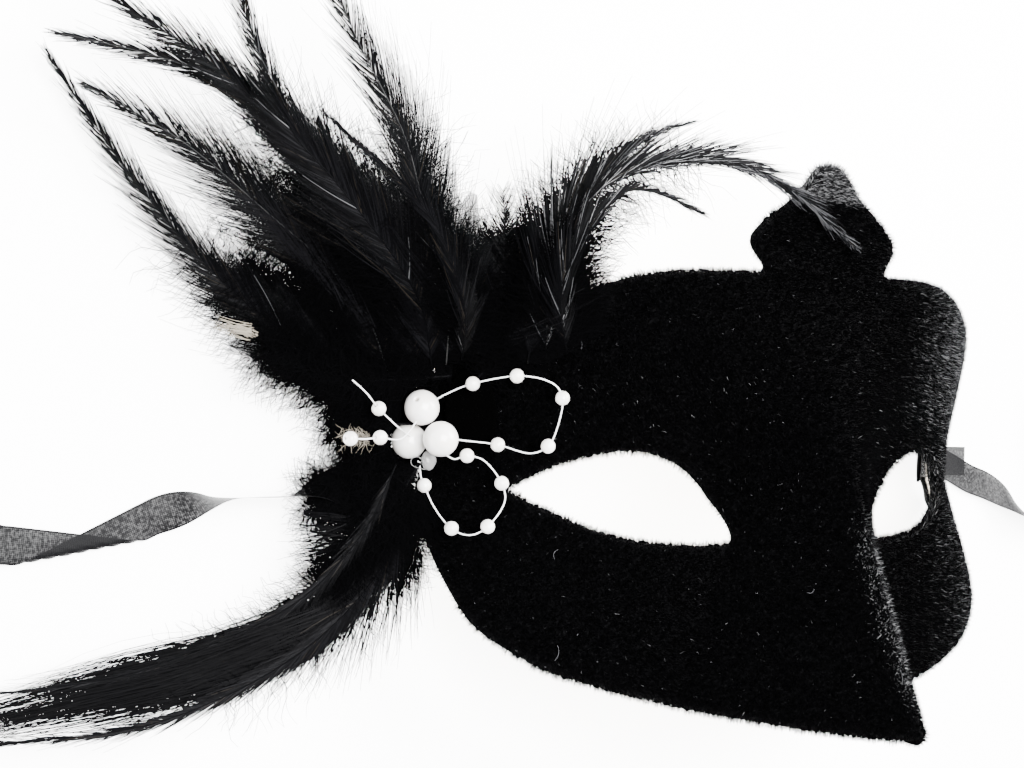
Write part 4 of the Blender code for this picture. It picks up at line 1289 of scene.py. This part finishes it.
def add_ribbon(side, grid, mat, end_mat):
    count, columns = grid.shape[:2]
    points = grid[:, columns // 2]
    grid = grid.copy()
    cupped = 1 - 4 * np.linspace(-0.5, 0.5, columns) ** 2
    ripple = RIPPLE * np.sin(np.arange(count) / 7.0)[:, None] * cupped[None, :]
    through = unit(np.cross(directions(points), grid[:, -1] - grid[:, 0]))
    grid += through[:, None] * ripple[..., None]
    grid[..., 2] = np.maximum(grid[..., 2], RIBBON_LOWEST)
    lengths = np.concatenate([[0], np.cumsum(np.linalg.norm(np.diff(points, axis=0), axis=1))])
    ribbon = woven_strip(f"ribbon_{side}", grid, lengths, [mat, end_mat])
    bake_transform(ribbon)
    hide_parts(f"ribbon_tie_{side}", f"ribbon_roll_{side}", f"ribbon_end_{side}")
    [tuple(p * MM) for p in points]


def add_ribbons():
    cut = organza_finish("organza_cut_end", 0.955)
    glued = organza_finish("organza_glued_end", 0.45)
    add_ribbon("right", right_ribbon_grid(), organza_finish("organza_right", 0.987), glued)
    left_rows = GLUED_END + RIBBON_LEFT + roll_rows("left", -90)
    add_ribbon("left", ribbon_strip(left_rows), organza_finish("organza_left", 0.977), glued)
    stub = ribbon_strip(CUT_END)
    stub[..., 2] = 0.12 + 0.25 * ease(92, 88.5, stub[..., 0])       # raised a little under the rim
    settle(woven_strip("ribbon_left_cut_end", stub, np.arange(len(stub)) * RIBBON_STEP, [cut]), "ribbon")


# ---- small hidden pieces ------------------------------------------------------------------------
def softened_copy(node, name, material, slot, width):
    """A rounded copy of a plain solid, for a small felt piece."""
    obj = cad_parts[node].copy()
    obj.data = obj.data.copy()
    obj.name = name
    obj.parent = None
    for key in list(obj.keys()):
        del obj[key]
    bpy.context.collection.objects.link(obj)
    obj.hide_render = False
    obj.hide_viewport = False
    work = bmesh.new()
    work.from_mesh(obj.data)
    bmesh.ops.remove_doubles(work, verts=work.verts, dist=1e-6)
    work.to_mesh(obj.data)
    work.free()
    bevel = obj.modifiers.new("edge", "BEVEL")
    bevel.width = width * MM
    bevel.segments = 3
    bevel.limit_method = "ANGLE"
    apply_all(obj)
    obj.data.materials.clear()
    obj.data.materials.append(material)
    settle(obj, slot, node)


add_camera()
add_studio()
add_ribbons()
add_shell()
cloth_verts, cloth_faces = add_velvet()
add_lint(cloth_verts, cloth_faces)
feather_mats = add_plume()
add_tufts(feather_mats)
add_spray()
felt = felt_finish()
softened_copy("feather_pad", "feather_pad_felt", felt, "felt", 0.3)
softened_copy("ribbon_patch_left", "ribbon_patch_left_felt", felt, "felt", 0.25)
softened_copy("ribbon_patch_right", "ribbon_patch_right_felt", felt, "felt", 0.25)
